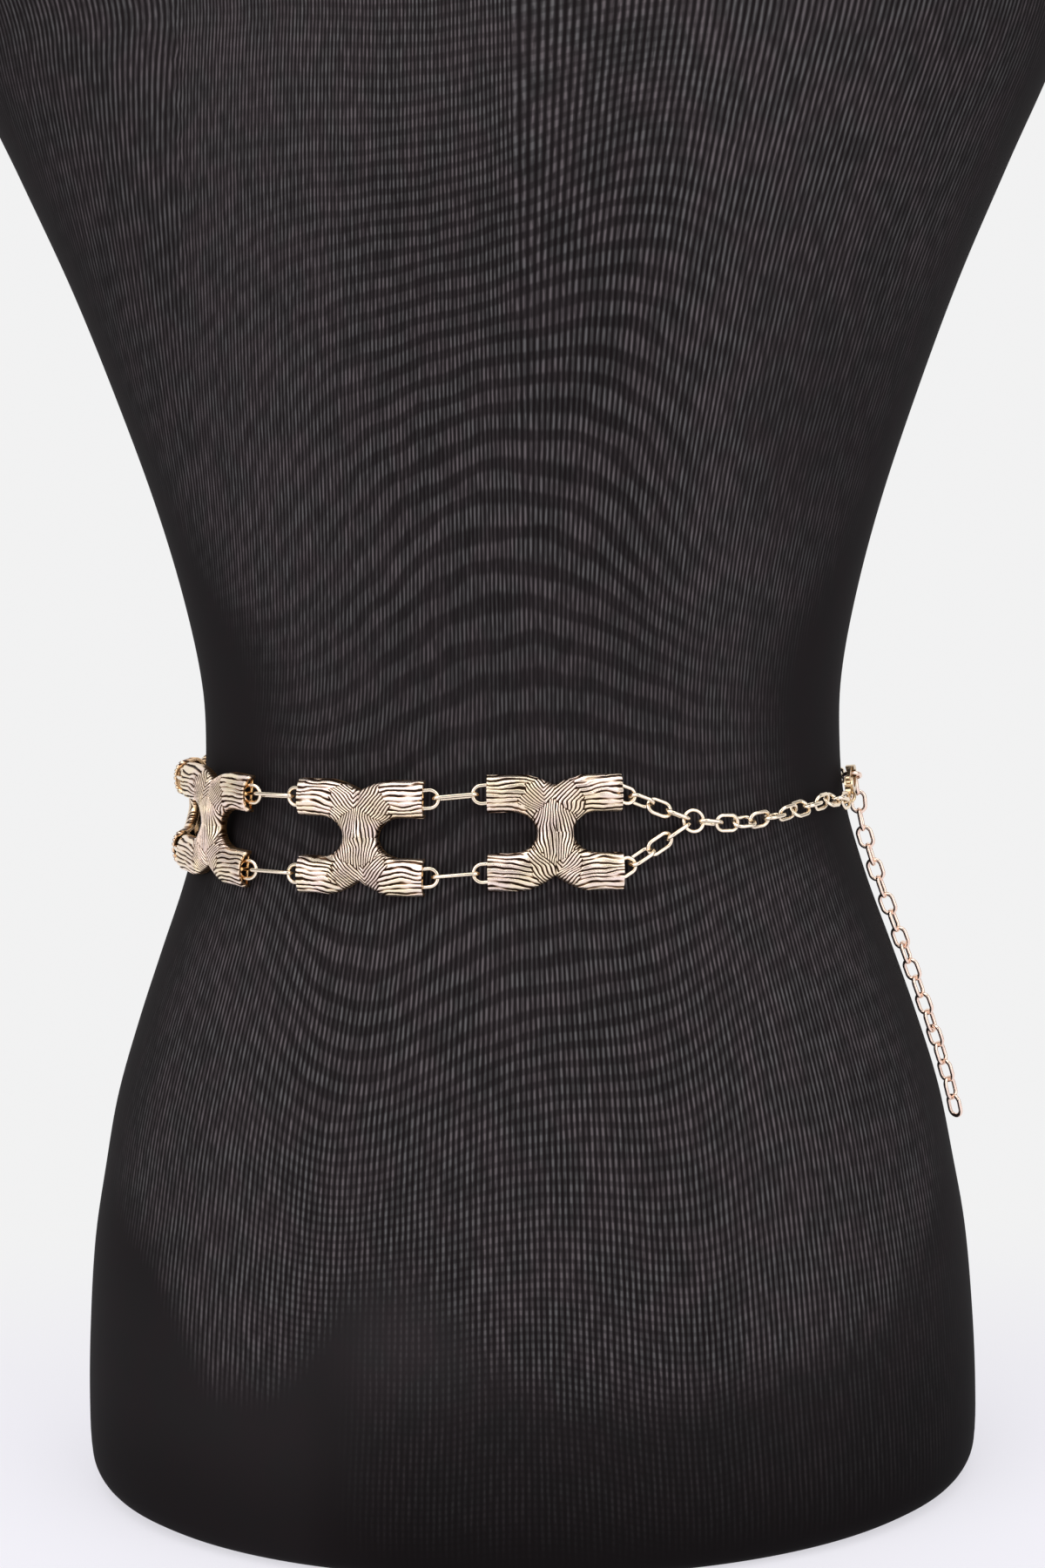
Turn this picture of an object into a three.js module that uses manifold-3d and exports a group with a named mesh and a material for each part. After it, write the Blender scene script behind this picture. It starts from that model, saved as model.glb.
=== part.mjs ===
import * as THREE from 'three';
import { mergeVertices } from 'three/addons/utils/BufferGeometryUtils.js';
import Module from 'manifold-3d';

const wasm = await Module();
wasm.setup();

// Chain belt round the waist of a limbless dress form. Millimetres, +Z up.
// The origin is the middle of the form's flat base, on the floor. The front of the form faces -Y.

// Driving dimensions

const BELT_HEIGHT = 235.2;
const FORM_AROUND = 40;
const FORM_CLEARANCE = 0.45;

const MOTIF_LENGTH = 43.9;
const MOTIF_HEIGHT = 38.2;
const MOTIF_GAP = 13.35;
const MOTIF_COLUMN = 12.1;
const MOTIF_DEPTH = 5.4;
const MOTIF_SIDE = 2.2;
const MOTIF_WALL = 1.1;
const MOTIF_BEND = 165;
const NOTCH_CENTRE = 14.3;
const VALLEY_TOP = 3.5;
const VALLEY_BOTTOM = 4.9;
const SHOULDER = 11;
const POST_X = 21.0;
const POST_LEVEL = 2.5;
const POST_RADIUS = 0.7;
const BAR_RADIUS = 0.55;
const BAR_LEVEL = 0.6;

const WIRE = 1.35;
const PLAY = 0.3;
const LINK_REACH = 7.5;
const LINK_SPAN = 5.2;
const RING_SPAN = 6.0;
const JOINING_RADIUS = 3.6;
const CHAIN_LIFT = 4.1;
const BEARING = 0.85;

// Cross sections of the form: height, half width, depth to the front and the back, roundness power

const FORM_SECTIONS = [
  { z: 0, half: 153.5, front: 116.0, back: 104.0, power: 2.05 },
  { z: 2.5, half: 157.5, front: 119.0, back: 107.2, power: 2.05 },
  { z: 8, half: 160.0, front: 120.8, back: 109.2, power: 2.05 },
  { z: 25, half: 160.9, front: 121.0, back: 111.5, power: 2.05 },
  { z: 50, half: 160.5, front: 120.0, back: 113.5, power: 2.06 },
  { z: 82, half: 158.3, front: 118.2, back: 114.5, power: 2.07 },
  { z: 107, half: 154.3, front: 116.0, back: 113.5, power: 2.08 },
  { z: 133, half: 149.4, front: 113.0, back: 110.5, power: 2.09 },
  { z: 159, half: 141.7, front: 107.5, back: 105.0, power: 2.1 },
  { z: 184, half: 133.2, front: 101.0, back: 98.0, power: 2.1 },
  { z: 210, half: 124.2, front: 94.0, back: 90.0, power: 2.1 },
  { z: 236, half: 117.4, front: 88.6, back: 84.0, power: 2.1 },
  { z: 256, half: 115.9, front: 86.0, back: 81.5, power: 2.1 },
  { z: 280, half: 116.8, front: 85.5, back: 82.0, power: 2.1 },
  { z: 310, half: 122.6, front: 86.5, back: 85.5, power: 2.12 },
  { z: 345, half: 132.4, front: 90.5, back: 91.5, power: 2.14 },
  { z: 385, half: 146.3, front: 97.5, back: 98.0, power: 2.18 },
  { z: 425, half: 161.8, front: 105.0, back: 103.5, power: 2.2 },
  { z: 465, half: 179.6, front: 109.0, back: 107.0, power: 2.25 },
  { z: 510, half: 200.0, front: 107.0, back: 108.5, power: 2.3 },
  { z: 545, half: 209.5, front: 101.0, back: 107.5, power: 2.3 },
  { z: 575, half: 210.0, front: 92.0, back: 104.5, power: 2.28 },
  { z: 600, half: 203.0, front: 82.0, back: 98.0, power: 2.26 },
  { z: 622, half: 185.0, front: 72.0, back: 89.0, power: 2.24 },
  { z: 640, half: 155.0, front: 62.5, back: 79.0, power: 2.2 },
  { z: 654, half: 118.0, front: 55.5, back: 68.5, power: 2.15 },
  { z: 667, half: 86.0, front: 51.8, back: 60.0, power: 2.1 },
  { z: 681, half: 67.0, front: 49.8, back: 54.5, power: 2.05 },
  { z: 698, half: 57.5, front: 48.6, back: 51.0, power: 2 },
  { z: 716, half: 54.0, front: 48.0, back: 49.5, power: 2 },
  { z: 731, half: 53.0, front: 47.5, back: 49.0, power: 2 },
  { z: 735, half: 50.5, front: 45.0, back: 46.5, power: 2 },
];

// Middles of the cast links, as distances round the waist from the middle of the front.
// They hang more upright than the form's surface: lean is the difference, in degrees.

const MOTIF_PLACES = [
  { name: 'motif_0', arc: -185.6, height: 233.6, tilt: -1.0, lean: 8.0 },
  { name: 'motif_1', arc: -119.7, height: 233.8, tilt: -2.2, lean: 8.0 },
  { name: 'motif_2', arc: -54.8, height: 232.9, tilt: -0.3, lean: 8.0 },
  { name: 'motif_3', arc: 10.4, height: 234.5, tilt: -0.5, lean: 2.4 },
];

// The single chain in front, from the joining ring to the clasp: distance round and height

const FRONT_CHAIN = [
  { arc: 57.9, height: 236.4 },
  { arc: 70.1, height: 234.8 },
  { arc: 83.0, height: 235.2 },
  { arc: 98.0, height: 236.8 },
  { arc: 112.0, height: 238.5 },
  { arc: 125.4, height: 238.7 },
];

const GOLD = { color: 0xd9bb8e, roughness: 0.28, metalness: 1.0 };
const ROSE_GOLD = { color: 0xd8a88c, roughness: 0.3, metalness: 1.0 };
const CLASP_GOLD = { color: 0xb58f5e, roughness: 0.32, metalness: 1.0 };
const KNIT = { color: 0x322d2f, roughness: 0.95, metalness: 0.0 };

const model = new THREE.Group();

function addPiece(name, geometry, look, matrix) {
  const mesh = new THREE.Mesh(geometry, new THREE.MeshStandardMaterial({ ...look, name }));
  mesh.name = name;
  if (matrix) mesh.applyMatrix4(matrix);
  model.add(mesh);
  return mesh;
}

// Solids: to and from the joining library

function toSolid(geometry) {
  const bare = geometry.index ? geometry.clone() : mergeVertices(geometry.clone());
  bare.deleteAttribute('normal');
  bare.deleteAttribute('uv');
  const merged = mergeVertices(bare, 1e-4);
  return new wasm.Manifold(new wasm.Mesh({
    numProp: 3,
    vertProperties: new Float32Array(merged.attributes.position.array),
    triVerts: new Uint32Array(merged.index.array),
  }));
}

function fromSolid(solid) {
  const mesh = solid.getMesh();
  const geometry = new THREE.BufferGeometry();
  const positions = new Float32Array(mesh.numVert * 3);
  for (let i = 0; i < mesh.numVert; i++) {
    for (let k = 0; k < 3; k++) positions[i * 3 + k] = mesh.vertProperties[i * mesh.numProp + k];
  }
  geometry.setAttribute('position', new THREE.BufferAttribute(positions, 3));
  geometry.setIndex(Array.from(mesh.triVerts));
  geometry.computeVertexNormals();
  return geometry;
}

function join(geometries) {
  return fromSolid(geometries.map(toSolid).reduce((whole, next) => whole.add(next)));
}

// The form's surface

function smoothColumn(key, z) {
  const rows = FORM_SECTIONS;
  let i = 0;
  while (i < rows.length - 2 && rows[i + 1].z < z) i++;
  const slope = (j) => {
    const a = rows[Math.max(j - 1, 0)];
    const b = rows[Math.min(j + 1, rows.length - 1)];
    return (b[key] - a[key]) / (b.z - a.z);
  };
  const span = rows[i + 1].z - rows[i].z;
  const t = THREE.MathUtils.clamp((z - rows[i].z) / span, 0, 1);
  const t2 = t * t;
  const t3 = t2 * t;
  return (2 * t3 - 3 * t2 + 1) * rows[i][key] + (t3 - 2 * t2 + t) * span * slope(i)
    + (3 * t2 - 2 * t3) * rows[i + 1][key] + (t3 - t2) * span * slope(i + 1);
}

function signedPower(value, power) {
  return Math.sign(value) * Math.abs(value) ** power;
}

function formPoint(angle, z) {
  const power = 2 / smoothColumn('power', z);
  const depth = Math.cos(angle) > 0 ? smoothColumn('front', z) : smoothColumn('back', z);
  return new THREE.Vector3(
    smoothColumn('half', z) * signedPower(Math.sin(angle), power),
    -depth * signedPower(Math.cos(angle), power),
    z,
  );
}

function formGap(point) {
  const depth = point.y < 0 ? smoothColumn('front', point.z) : smoothColumn('back', point.z);
  const power = smoothColumn('power', point.z);
  const across = Math.abs(point.x) / smoothColumn('half', point.z);
  const level = (across ** power + (Math.abs(point.y) / depth) ** power) ** (1 / power);
  return Math.hypot(point.x, point.y) * (1 - 1 / level);
}

const ARC_STEPS = 1440;
const arcTable = [0];
for (let i = 1; i <= ARC_STEPS; i++) {
  const from = formPoint((i - 1) / ARC_STEPS * 2 * Math.PI, BELT_HEIGHT);
  const to = formPoint(i / ARC_STEPS * 2 * Math.PI, BELT_HEIGHT);
  arcTable.push(arcTable[i - 1] + from.distanceTo(to) * 1.0277);
}
const GIRTH = arcTable[ARC_STEPS];

function angleAt(arc) {
  const wanted = ((arc % GIRTH) + GIRTH) % GIRTH;
  let low = 0;
  let high = ARC_STEPS;
  while (high - low > 1) {
    const middle = (low + high) >> 1;
    if (arcTable[middle] <= wanted) low = middle;
    else high = middle;
  }
  const part = (wanted - arcTable[low]) / (arcTable[high] - arcTable[low]);
  return (low + part) / ARC_STEPS * 2 * Math.PI;
}

function surfaceFrame(arc, z, lift) {
  const angle = angleAt(arc);
  const around = formPoint(angle + 0.01, z).sub(formPoint(angle - 0.01, z)).normalize();
  const upward = formPoint(angle, z + 1).sub(formPoint(angle, z - 1)).normalize();
  const out = new THREE.Vector3().crossVectors(around, upward).normalize();
  const up = new THREE.Vector3().crossVectors(out, around);
  const place = formPoint(angle, z).addScaledVector(out, lift);
  return { place, around, up, out };
}

function frameMatrix({ place, around, up, out }) {
  return new THREE.Matrix4().makeBasis(around, up, out).setPosition(place);
}

// Dress form

function buildForm() {
  const positions = [];
  const faces = [];
  for (const row of FORM_SECTIONS) {
    for (let j = 0; j < FORM_AROUND; j++) {
      positions.push(...formPoint(j / FORM_AROUND * 2 * Math.PI, row.z).toArray());
    }
  }
  const last = FORM_SECTIONS.length - 1;
  const ringIndex = (i, j) => i * FORM_AROUND + (j % FORM_AROUND);
  for (let i = 0; i < last; i++) {
    for (let j = 0; j < FORM_AROUND; j++) {
      const quad = [ringIndex(i, j), ringIndex(i, j + 1), ringIndex(i + 1, j + 1), ringIndex(i + 1, j)];
      faces.push(quad[0], quad[1], quad[2], quad[0], quad[2], quad[3]);
    }
  }
  const bottom = positions.length / 3;
  positions.push(0, 0, FORM_SECTIONS[0].z, 0, 0, FORM_SECTIONS[last].z);
  for (let j = 0; j < FORM_AROUND; j++) {
    faces.push(bottom, ringIndex(0, j + 1), ringIndex(0, j));
    faces.push(bottom + 1, ringIndex(last, j), ringIndex(last, j + 1));
  }
  const geometry = new THREE.BufferGeometry();
  geometry.setAttribute('position', new THREE.Float32BufferAttribute(positions, 3));
  geometry.setIndex(faces);
  geometry.computeVertexNormals();
  return geometry;
}

addPiece('form', buildForm(), KNIT);

// Cast link: two C-shaped half tubes, back to back, open behind and at the four arm ends.
// t runs along a C from the lower arm end (-1) to the upper one (1), s across it from the
// notch (0) to the outer edge or the middle line (1).

const HALF = MOTIF_LENGTH / 2;
const TOP = MOTIF_HEIGHT / 2;
const VALLEY_T = 0.42;
const T_STEPS = [0, 0.21, VALLEY_T, 0.48, 0.6, 0.8, 1];
const S_STEPS = [0, 0.12, 0.34, 0.66, 0.88, 1];

function notchEdge(t) {
  const y = MOTIF_GAP / 2;
  if (t > 0.5) {
    const along = (t - 0.5) / 0.5;
    return new THREE.Vector2(-NOTCH_CENTRE - (HALF - NOTCH_CENTRE) * along, y);
  }
  const turn = t / 0.5 * Math.PI / 2;
  const reach = NOTCH_CENTRE - MOTIF_COLUMN / 2;
  return new THREE.Vector2(-NOTCH_CENTRE + reach * Math.cos(turn), y * Math.sin(turn));
}

function outerEdge(t, valley) {
  if (t <= VALLEY_T) return new THREE.Vector2(0, (TOP - valley) * t / VALLEY_T);
  const x = HALF * (t - VALLEY_T) / (1 - VALLEY_T);
  const drop = x < SHOULDER ? valley * (1 - x / SHOULDER) ** 1.6 : 0;
  return new THREE.Vector2(-x, TOP - drop);
}

function domeHeight(s, t) {
  const spread = 1 + Math.min(t / VALLEY_T, 1) * 0.93 + (t > VALLEY_T ? 0.07 : 0);
  return MOTIF_SIDE + (MOTIF_DEPTH - MOTIF_SIDE) * Math.sqrt(Math.max(1 - (1 - s * spread) ** 2, 0));
}

function motifPoint(s, t, level, inner) {
  const high = Math.abs(t);
  const start = notchEdge(high);
  const finish = outerEdge(high, t > 0 ? VALLEY_TOP : VALLEY_BOTTOM);
  const across = finish.clone().sub(start).normalize();
  if (inner) {
    start.addScaledVector(across, MOTIF_WALL);
    if (high === VALLEY_T) finish.y -= MOTIF_WALL * 1.3;
    if (high > VALLEY_T) finish.addScaledVector(across, -MOTIF_WALL);
  }
  const flat = start.lerp(finish, s);
  let height = 0;
  if (level === 'dome') height = domeHeight(s, high) - (inner ? MOTIF_WALL : 0);
  return new THREE.Vector3(flat.x, Math.sign(t) * flat.y, height);
}

function bend(point) {
  const turn = point.x / MOTIF_BEND;
  const radius = MOTIF_BEND + point.z;
  return new THREE.Vector3(radius * Math.sin(turn), point.y, radius * Math.cos(turn) - MOTIF_BEND);
}

function buildMotifShell() {
  const lower = T_STEPS.slice(1).reverse().map((t) => -t);
  const tList = [...lower, ...T_STEPS];
  const profile = [{ s: 0, level: 'rim' }];
  for (const s of S_STEPS) profile.push({ s, level: 'dome' });
  profile.push({ s: 1, level: 'rim' });
  const positions = [];
  const faces = [];
  const known = new Map();
  const vertex = (side, i, k, inner) => {
    const t = tList[i];
    const { s, level } = profile[k];
    const shared = s === 1 && Math.abs(t) <= VALLEY_T;
    const key = `${inner}:${shared ? 0 : side}:${i}:${k}`;
    if (!known.has(key)) {
      const point = motifPoint(s, t, level, inner);
      point.x *= -side;
      if (shared) point.x = 0;
      known.set(key, positions.length / 3);
      positions.push(...bend(point).toArray());
    }
    return known.get(key);
  };
  const addQuad = (a, b, c, d) => faces.push(a, b, c, a, c, d);
  const edges = new Map();
  for (const side of [-1, 1]) {
    for (let i = 0; i < tList.length - 1; i++) {
      for (let k = 0; k < profile.length - 1; k++) {
        const middle = Math.abs(tList[i] + tList[i + 1]) / 2;
        if (k === profile.length - 2 && middle < VALLEY_T) continue;
        const corners = [[i, k], [i, k + 1], [i + 1, k + 1], [i + 1, k]];
        if (side > 0) corners.reverse();
        const out = corners.map(([a, b]) => vertex(side, a, b, false));
        const back = corners.map(([a, b]) => vertex(side, a, b, true));
        addQuad(...out);
        addQuad(back[3], back[2], back[1], back[0]);
        for (let n = 0; n < 4; n++) {
          const m = (n + 1) % 4;
          const twin = `${out[m]}:${out[n]}`;
          if (edges.has(twin)) edges.delete(twin);
          else edges.set(`${out[n]}:${out[m]}`, [out[n], out[m], back[n], back[m]]);
        }
      }
    }
  }
  for (const [a, b, backA, backB] of edges.values()) addQuad(b, a, backA, backB);
  const geometry = new THREE.BufferGeometry();
  geometry.setAttribute('position', new THREE.Float32BufferAttribute(positions, 3));
  geometry.setIndex(faces);
  return geometry;
}

function buildMotif() {
  const pieces = [buildMotifShell()];
  const armMiddle = (TOP + MOTIF_GAP / 2) / 2;
  const armInside = TOP - MOTIF_GAP / 2 - 2 * MOTIF_WALL;
  const postLength = MOTIF_DEPTH - MOTIF_WALL / 2 - BAR_LEVEL;
  for (const side of [-1, 1]) {
    for (const row of [-1, 1]) {
      const foot = bend(new THREE.Vector3(side * POST_X, row * armMiddle, BAR_LEVEL));
      const post = new THREE.CylinderGeometry(POST_RADIUS, POST_RADIUS, postLength, 6);
      post.rotateX(Math.PI / 2).translate(foot.x, foot.y, foot.z + postLength / 2);
      const bar = new THREE.CylinderGeometry(BAR_RADIUS, BAR_RADIUS, armInside + MOTIF_WALL, 6);
      bar.translate(foot.x, foot.y, foot.z);
      pieces.push(post, bar);
    }
  }
  return join(pieces);
}

const motifGeometry = buildMotif();

function settleOnForm(geometry, { arc, height, tilt, lean }) {
  const points = geometry.attributes.position;
  for (let lift = 0.3; lift < 9; lift += 0.05) {
    const matrix = frameMatrix(surfaceFrame(arc, height, lift));
    matrix.multiply(new THREE.Matrix4().makeRotationX(THREE.MathUtils.degToRad(lean)));
    matrix.multiply(new THREE.Matrix4().makeRotationZ(THREE.MathUtils.degToRad(tilt)));
    let least = Infinity;
    for (let i = 0; i < points.count; i++) {
      const point = new THREE.Vector3().fromBufferAttribute(points, i).applyMatrix4(matrix);
      least = Math.min(least, formGap(point));
    }
    if (least >= FORM_CLEARANCE) return matrix;
  }
  throw new Error('no room on the form');
}

const motifs = MOTIF_PLACES.map((place) => {
  const matrix = settleOnForm(motifGeometry, place);
  addPiece(place.name, motifGeometry.clone(), GOLD, matrix);
  return matrix;
});

function motifPost(matrix, side, row) {
  const armMiddle = (TOP + MOTIF_GAP / 2) / 2;
  return bend(new THREE.Vector3(side * POST_X, row * armMiddle, POST_LEVEL)).applyMatrix4(matrix);
}

// Wire links. The ends are the middles of the wire at the two ends of the link.

function wireLink(reach, span, wire, around, sides) {
  const ring = new THREE.TorusGeometry(span / 2 / Math.cos(Math.PI / around), wire / 2, sides, around);
  ring.rotateZ(Math.PI / around);
  const points = ring.attributes.position;
  const pull = (reach - span) / 2;
  for (let i = 0; i < points.count; i++) {
    points.setX(i, points.getX(i) + Math.sign(points.getX(i)) * pull);
  }
  return ring;
}

function outwardAt(point) {
  const step = 0.5;
  const slope = (dx, dy, dz) => formGap(point.clone().add(new THREE.Vector3(dx, dy, dz)))
    - formGap(point.clone().sub(new THREE.Vector3(dx, dy, dz)));
  return new THREE.Vector3(slope(step, 0, 0), slope(0, step, 0), slope(0, 0, step)).normalize();
}

function linkMatrix(start, end, roll) {
  const middle = start.clone().add(end).multiplyScalar(0.5);
  const along = end.clone().sub(start).normalize();
  const out = outwardAt(middle);
  out.addScaledVector(along, -out.dot(along)).normalize();
  const side = new THREE.Vector3().crossVectors(out, along);
  return new THREE.Matrix4().makeBasis(along, side, out).setPosition(middle)
    .multiply(new THREE.Matrix4().makeRotationX(THREE.MathUtils.degToRad(roll)));
}

function addLink(name, start, end, { roll = 0, span = LINK_SPAN, wire = WIRE, look = GOLD, around = 12 } = {}) {
  const geometry = wireLink(start.distanceTo(end), span, wire, around, 4);
  return addPiece(name, geometry, look, linkMatrix(start, end, roll));
}

// Two rows of three links between neighbouring cast links

const HOOK_BACK = POST_RADIUS + WIRE / 2 + PLAY;
const STEP_BACK = WIRE + PLAY;
const rowNames = { 1: 'upper', '-1': 'lower' };

function pointAlong(from, to, distance) {
  return from.clone().addScaledVector(to.clone().sub(from).normalize(), distance);
}

for (let gap = 0; gap < motifs.length - 1; gap++) {
  for (const row of [1, -1]) {
    const left = motifPost(motifs[gap], 1, row);
    const right = motifPost(motifs[gap + 1], -1, row);
    const reach = LINK_REACH - HOOK_BACK;
    const name = `link_${gap}_${rowNames[row]}`;
    addLink(`${name}_a`, pointAlong(left, right, -HOOK_BACK), pointAlong(left, right, reach),
      { roll: MOTIF_PLACES[gap].lean, span: RING_SPAN });
    addLink(`${name}_b`, pointAlong(left, right, reach - STEP_BACK), pointAlong(right, left, reach - STEP_BACK),
      { roll: 88 - row * 6, span: 4.0 });
    addLink(`${name}_c`, pointAlong(right, left, reach), pointAlong(right, left, -HOOK_BACK),
      { roll: MOTIF_PLACES[gap + 1].lean, span: RING_SPAN });
  }
}

// Chains of links along a path. Each span is a link's start and end, as distances along the path.
// Links of one group bear on each other, and a group keeps its play to the next one.

function chainSpans(from, to, groups, inGroup = BEARING) {
  const backs = groups.flatMap((count, g) =>
    Array.from({ length: count }, (_, i) => (i ? inGroup : g ? STEP_BACK : 0)));
  const reach = (to - from + backs.reduce((sum, back) => sum + back)) / backs.length;
  let start = from;
  return backs.map((back, i) => {
    start -= back;
    const span = { start, end: start + reach, group: groupOf(groups, i) };
    start += reach;
    return span;
  });
}

function groupOf(groups, index) {
  let group = 0;
  let first = 0;
  while (index >= first + groups[group]) first += groups[group++];
  return group;
}

function smoothPath(points) {
  const curve = new THREE.CatmullRomCurve3(points, false, 'centripetal');
  curve.arcLengthDivisions = 1200;
  return curve;
}

function pathPoint(curve, distance) {
  return curve.getPointAt(THREE.MathUtils.clamp(distance / curve.getLength(), 0, 1));
}

function joinedChain(name, curve, spans, look, { firstRoll = 0, twist = 0 } = {}) {
  const groups = [];
  spans.forEach(({ start, end, group }, i) => {
    const from = pathPoint(curve, start);
    const to = pathPoint(curve, end);
    const link = wireLink(from.distanceTo(to), LINK_SPAN - 0.4, WIRE, 8, 4);
    const roll = firstRoll + (i % 2 ? 90 : 0) + twist * i;
    groups[group] ??= [];
    groups[group].push(link.applyMatrix4(linkMatrix(from, to, roll)));
  });
  groups.forEach((links, g) => addPiece(groups.length > 1 ? `${name}_${g}` : name, join(links), look));
}

// Legs of the V: from the cast link's two posts to the joining ring

function addLeg(name, post, centre, count, rolls) {
  const first = LINK_REACH - HOOK_BACK;
  const last = post.distanceTo(centre) - JOINING_RADIUS + STEP_BACK;
  addLink(`${name}_0`, pointAlong(post, centre, -HOOK_BACK), pointAlong(post, centre, first), { roll: rolls[0] });
  chainSpans(first - STEP_BACK, last, [count - 1], STEP_BACK).forEach(({ start, end }, i) => {
    addLink(`${name}_${i + 1}`, pointAlong(post, centre, start), pointAlong(post, centre, end),
      { roll: rolls[i + 1] });
  });
}

function addJoiningRing(name, centre) {
  const out = outwardAt(centre);
  const matrix = new THREE.Matrix4().lookAt(out, new THREE.Vector3(), new THREE.Vector3(0, 0, 1));
  const ring = new THREE.TorusGeometry(JOINING_RADIUS, 0.65, 4, 14);
  addPiece(name, ring, GOLD, matrix.setPosition(centre));
}

const lastMotif = motifs[motifs.length - 1];
const joiningCentre = surfaceFrame(FRONT_CHAIN[0].arc, FRONT_CHAIN[0].height, CHAIN_LIFT).place;
addJoiningRing('joining_ring', joiningCentre);
addLeg('v_upper', motifPost(lastMotif, 1, 1), joiningCentre, 4, [0, 62, -22, 96]);
addLeg('v_lower', motifPost(lastMotif, 1, -1), joiningCentre, 4, [4, -60, 26, 84]);

// Clasp: its own x axis runs from its eye to its nose, its y axis to the lever, z out of the form

const CLASP_THICK = 3.0;
const LEVER_PIVOT = new THREE.Vector2(-2.8, 1.75);
const EYE_X = -6.2;

function slab(shape, thickness, segments = 16) {
  const geometry = new THREE.ExtrudeGeometry(shape, { depth: thickness, bevelEnabled: false, curveSegments: segments });
  return geometry.translate(0, 0, -thickness / 2);
}

function oval(x, y, radiusX, radiusY) {
  return new THREE.Shape().absellipse(x, y, radiusX, radiusY, 0, 2 * Math.PI);
}

function block(x0, x1, y0, y1, thickness) {
  const box = new THREE.BoxGeometry(x1 - x0, y1 - y0, thickness);
  return box.translate((x0 + x1) / 2, (y0 + y1) / 2, 0);
}

function buildClaspBody() {
  const outside = toSolid(slab(oval(1, 0, 6.2, 3.6), CLASP_THICK, 12))
    .add(toSolid(slab(oval(EYE_X, 0, 2.1, 2.1), 1.8, 8)))
    .add(toSolid(block(EYE_X + 1.6, -3.8, -1.2, 1.2, 1.8)));
  const hollow = toSolid(slab(oval(1.3, -0.2, 4.3, 2.0), 6, 12));
  const mouth = toSolid(block(-1.8, 3.7, 0, 5, 6));
  const slot = toSolid(block(-4.3, -1.6, 0.25, 5, 1.8));
  const eye = toSolid(slab(oval(EYE_X, 0, 1.05, 1.05), 6, 6));
  const pin = toSolid(slab(oval(LEVER_PIVOT.x, LEVER_PIVOT.y, 0.5, 0.5), CLASP_THICK - 0.4, 6));
  return fromSolid(outside.subtract(hollow).subtract(mouth).subtract(slot).subtract(eye).add(pin));
}

function buildClaspLever() {
  const arch = toSolid(slab(oval(1, 0, 6.1, 3.5), 1.2, 12))
    .subtract(toSolid(slab(oval(1, 0, 4.9, 2.2), 2, 12)))
    .intersect(toSolid(block(-2.4, 3.4, 1.2, 5, 2)));
  const boss = toSolid(slab(oval(LEVER_PIVOT.x, LEVER_PIVOT.y, 1.15, 1.15), 1.2, 6));
  const tab = toSolid(slab(oval(-3.0, 3.5, 0.8, 1.1), 1.2, 5));
  const bore = toSolid(slab(oval(LEVER_PIVOT.x, LEVER_PIVOT.y, 0.59, 0.59), 2, 6));
  return fromSolid(arch.add(boss).add(tab).subtract(bore));
}

const claspAt = surfaceFrame(145.2, 243.6, CHAIN_LIFT);
const claspMatrix = frameMatrix(claspAt).multiply(new THREE.Matrix4().makeRotationZ(THREE.MathUtils.degToRad(36)));
addPiece('clasp_body', buildClaspBody(), CLASP_GOLD, claspMatrix);
addPiece('clasp_lever', buildClaspLever(), CLASP_GOLD, claspMatrix);

const eyePoint = new THREE.Vector3(EYE_X - 0.1, 0, 0).applyMatrix4(claspMatrix);
const ringEnd = new THREE.Vector3(EYE_X - 5.0, -0.6, 0).applyMatrix4(claspMatrix);
addLink('clasp_ring', ringEnd, eyePoint, { roll: 90, span: 4.4, wire: 1.1, look: CLASP_GOLD });

// Single chain from the joining ring to the clasp's ring

const frontPoints = FRONT_CHAIN.map(({ arc, height }) => surfaceFrame(arc, height, CHAIN_LIFT).place);
frontPoints.push(ringEnd, eyePoint);
const frontPath = smoothPath(frontPoints);
const frontEnd = frontPath.getLength() - ringEnd.distanceTo(eyePoint) + STEP_BACK;
const frontRolls = [84, 10, -52, 26, 98, 36, -28, 88, 24, -40, 80, 0];
chainSpans(JOINING_RADIUS - STEP_BACK, frontEnd, [frontRolls.length], STEP_BACK)
  .forEach(({ start, end }, i) => {
    addLink(`front_chain_${i}`, pathPoint(frontPath, start), pathPoint(frontPath, end), { roll: frontRolls[i] });
  });

// Adjusting chain: the link that the clasp holds, its surplus down the hip, and its run round the back

const HELD = { arc: 155.6, height: 243.4 };
const heldStart = new THREE.Vector3(4.2, -0.2, 0).applyMatrix4(claspMatrix);
const heldFrame = surfaceFrame(HELD.arc, HELD.height, CHAIN_LIFT);
const heldEnd = heldFrame.place;
addLink('held_link', heldStart, heldEnd, { roll: 90, span: 5.8, look: ROSE_GOLD });

function tailPoint(z, lift) {
  const y = heldEnd.y;
  const depth = y < 0 ? smoothColumn('front', z) : smoothColumn('back', z);
  const power = smoothColumn('power', z);
  const x = smoothColumn('half', z) * (1 - (Math.abs(y) / depth) ** power) ** (1 / power);
  return new THREE.Vector3(x + lift, y, z);
}

const TAIL_LOW = 121;
const tailTop = heldEnd.z + STEP_BACK;
const tailPoints = Array.from({ length: 17 }, (_, i) =>
  tailPoint(tailTop - (tailTop - TAIL_LOW) * i / 16, CHAIN_LIFT + (i < 2 ? 0.95 : 0)));
const tailPath = smoothPath(tailPoints);
joinedChain('tail', tailPath, chainSpans(0, tailPath.getLength(), [5, 5, 5, 5]), ROSE_GOLD, { twist: 2.2 });

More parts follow.
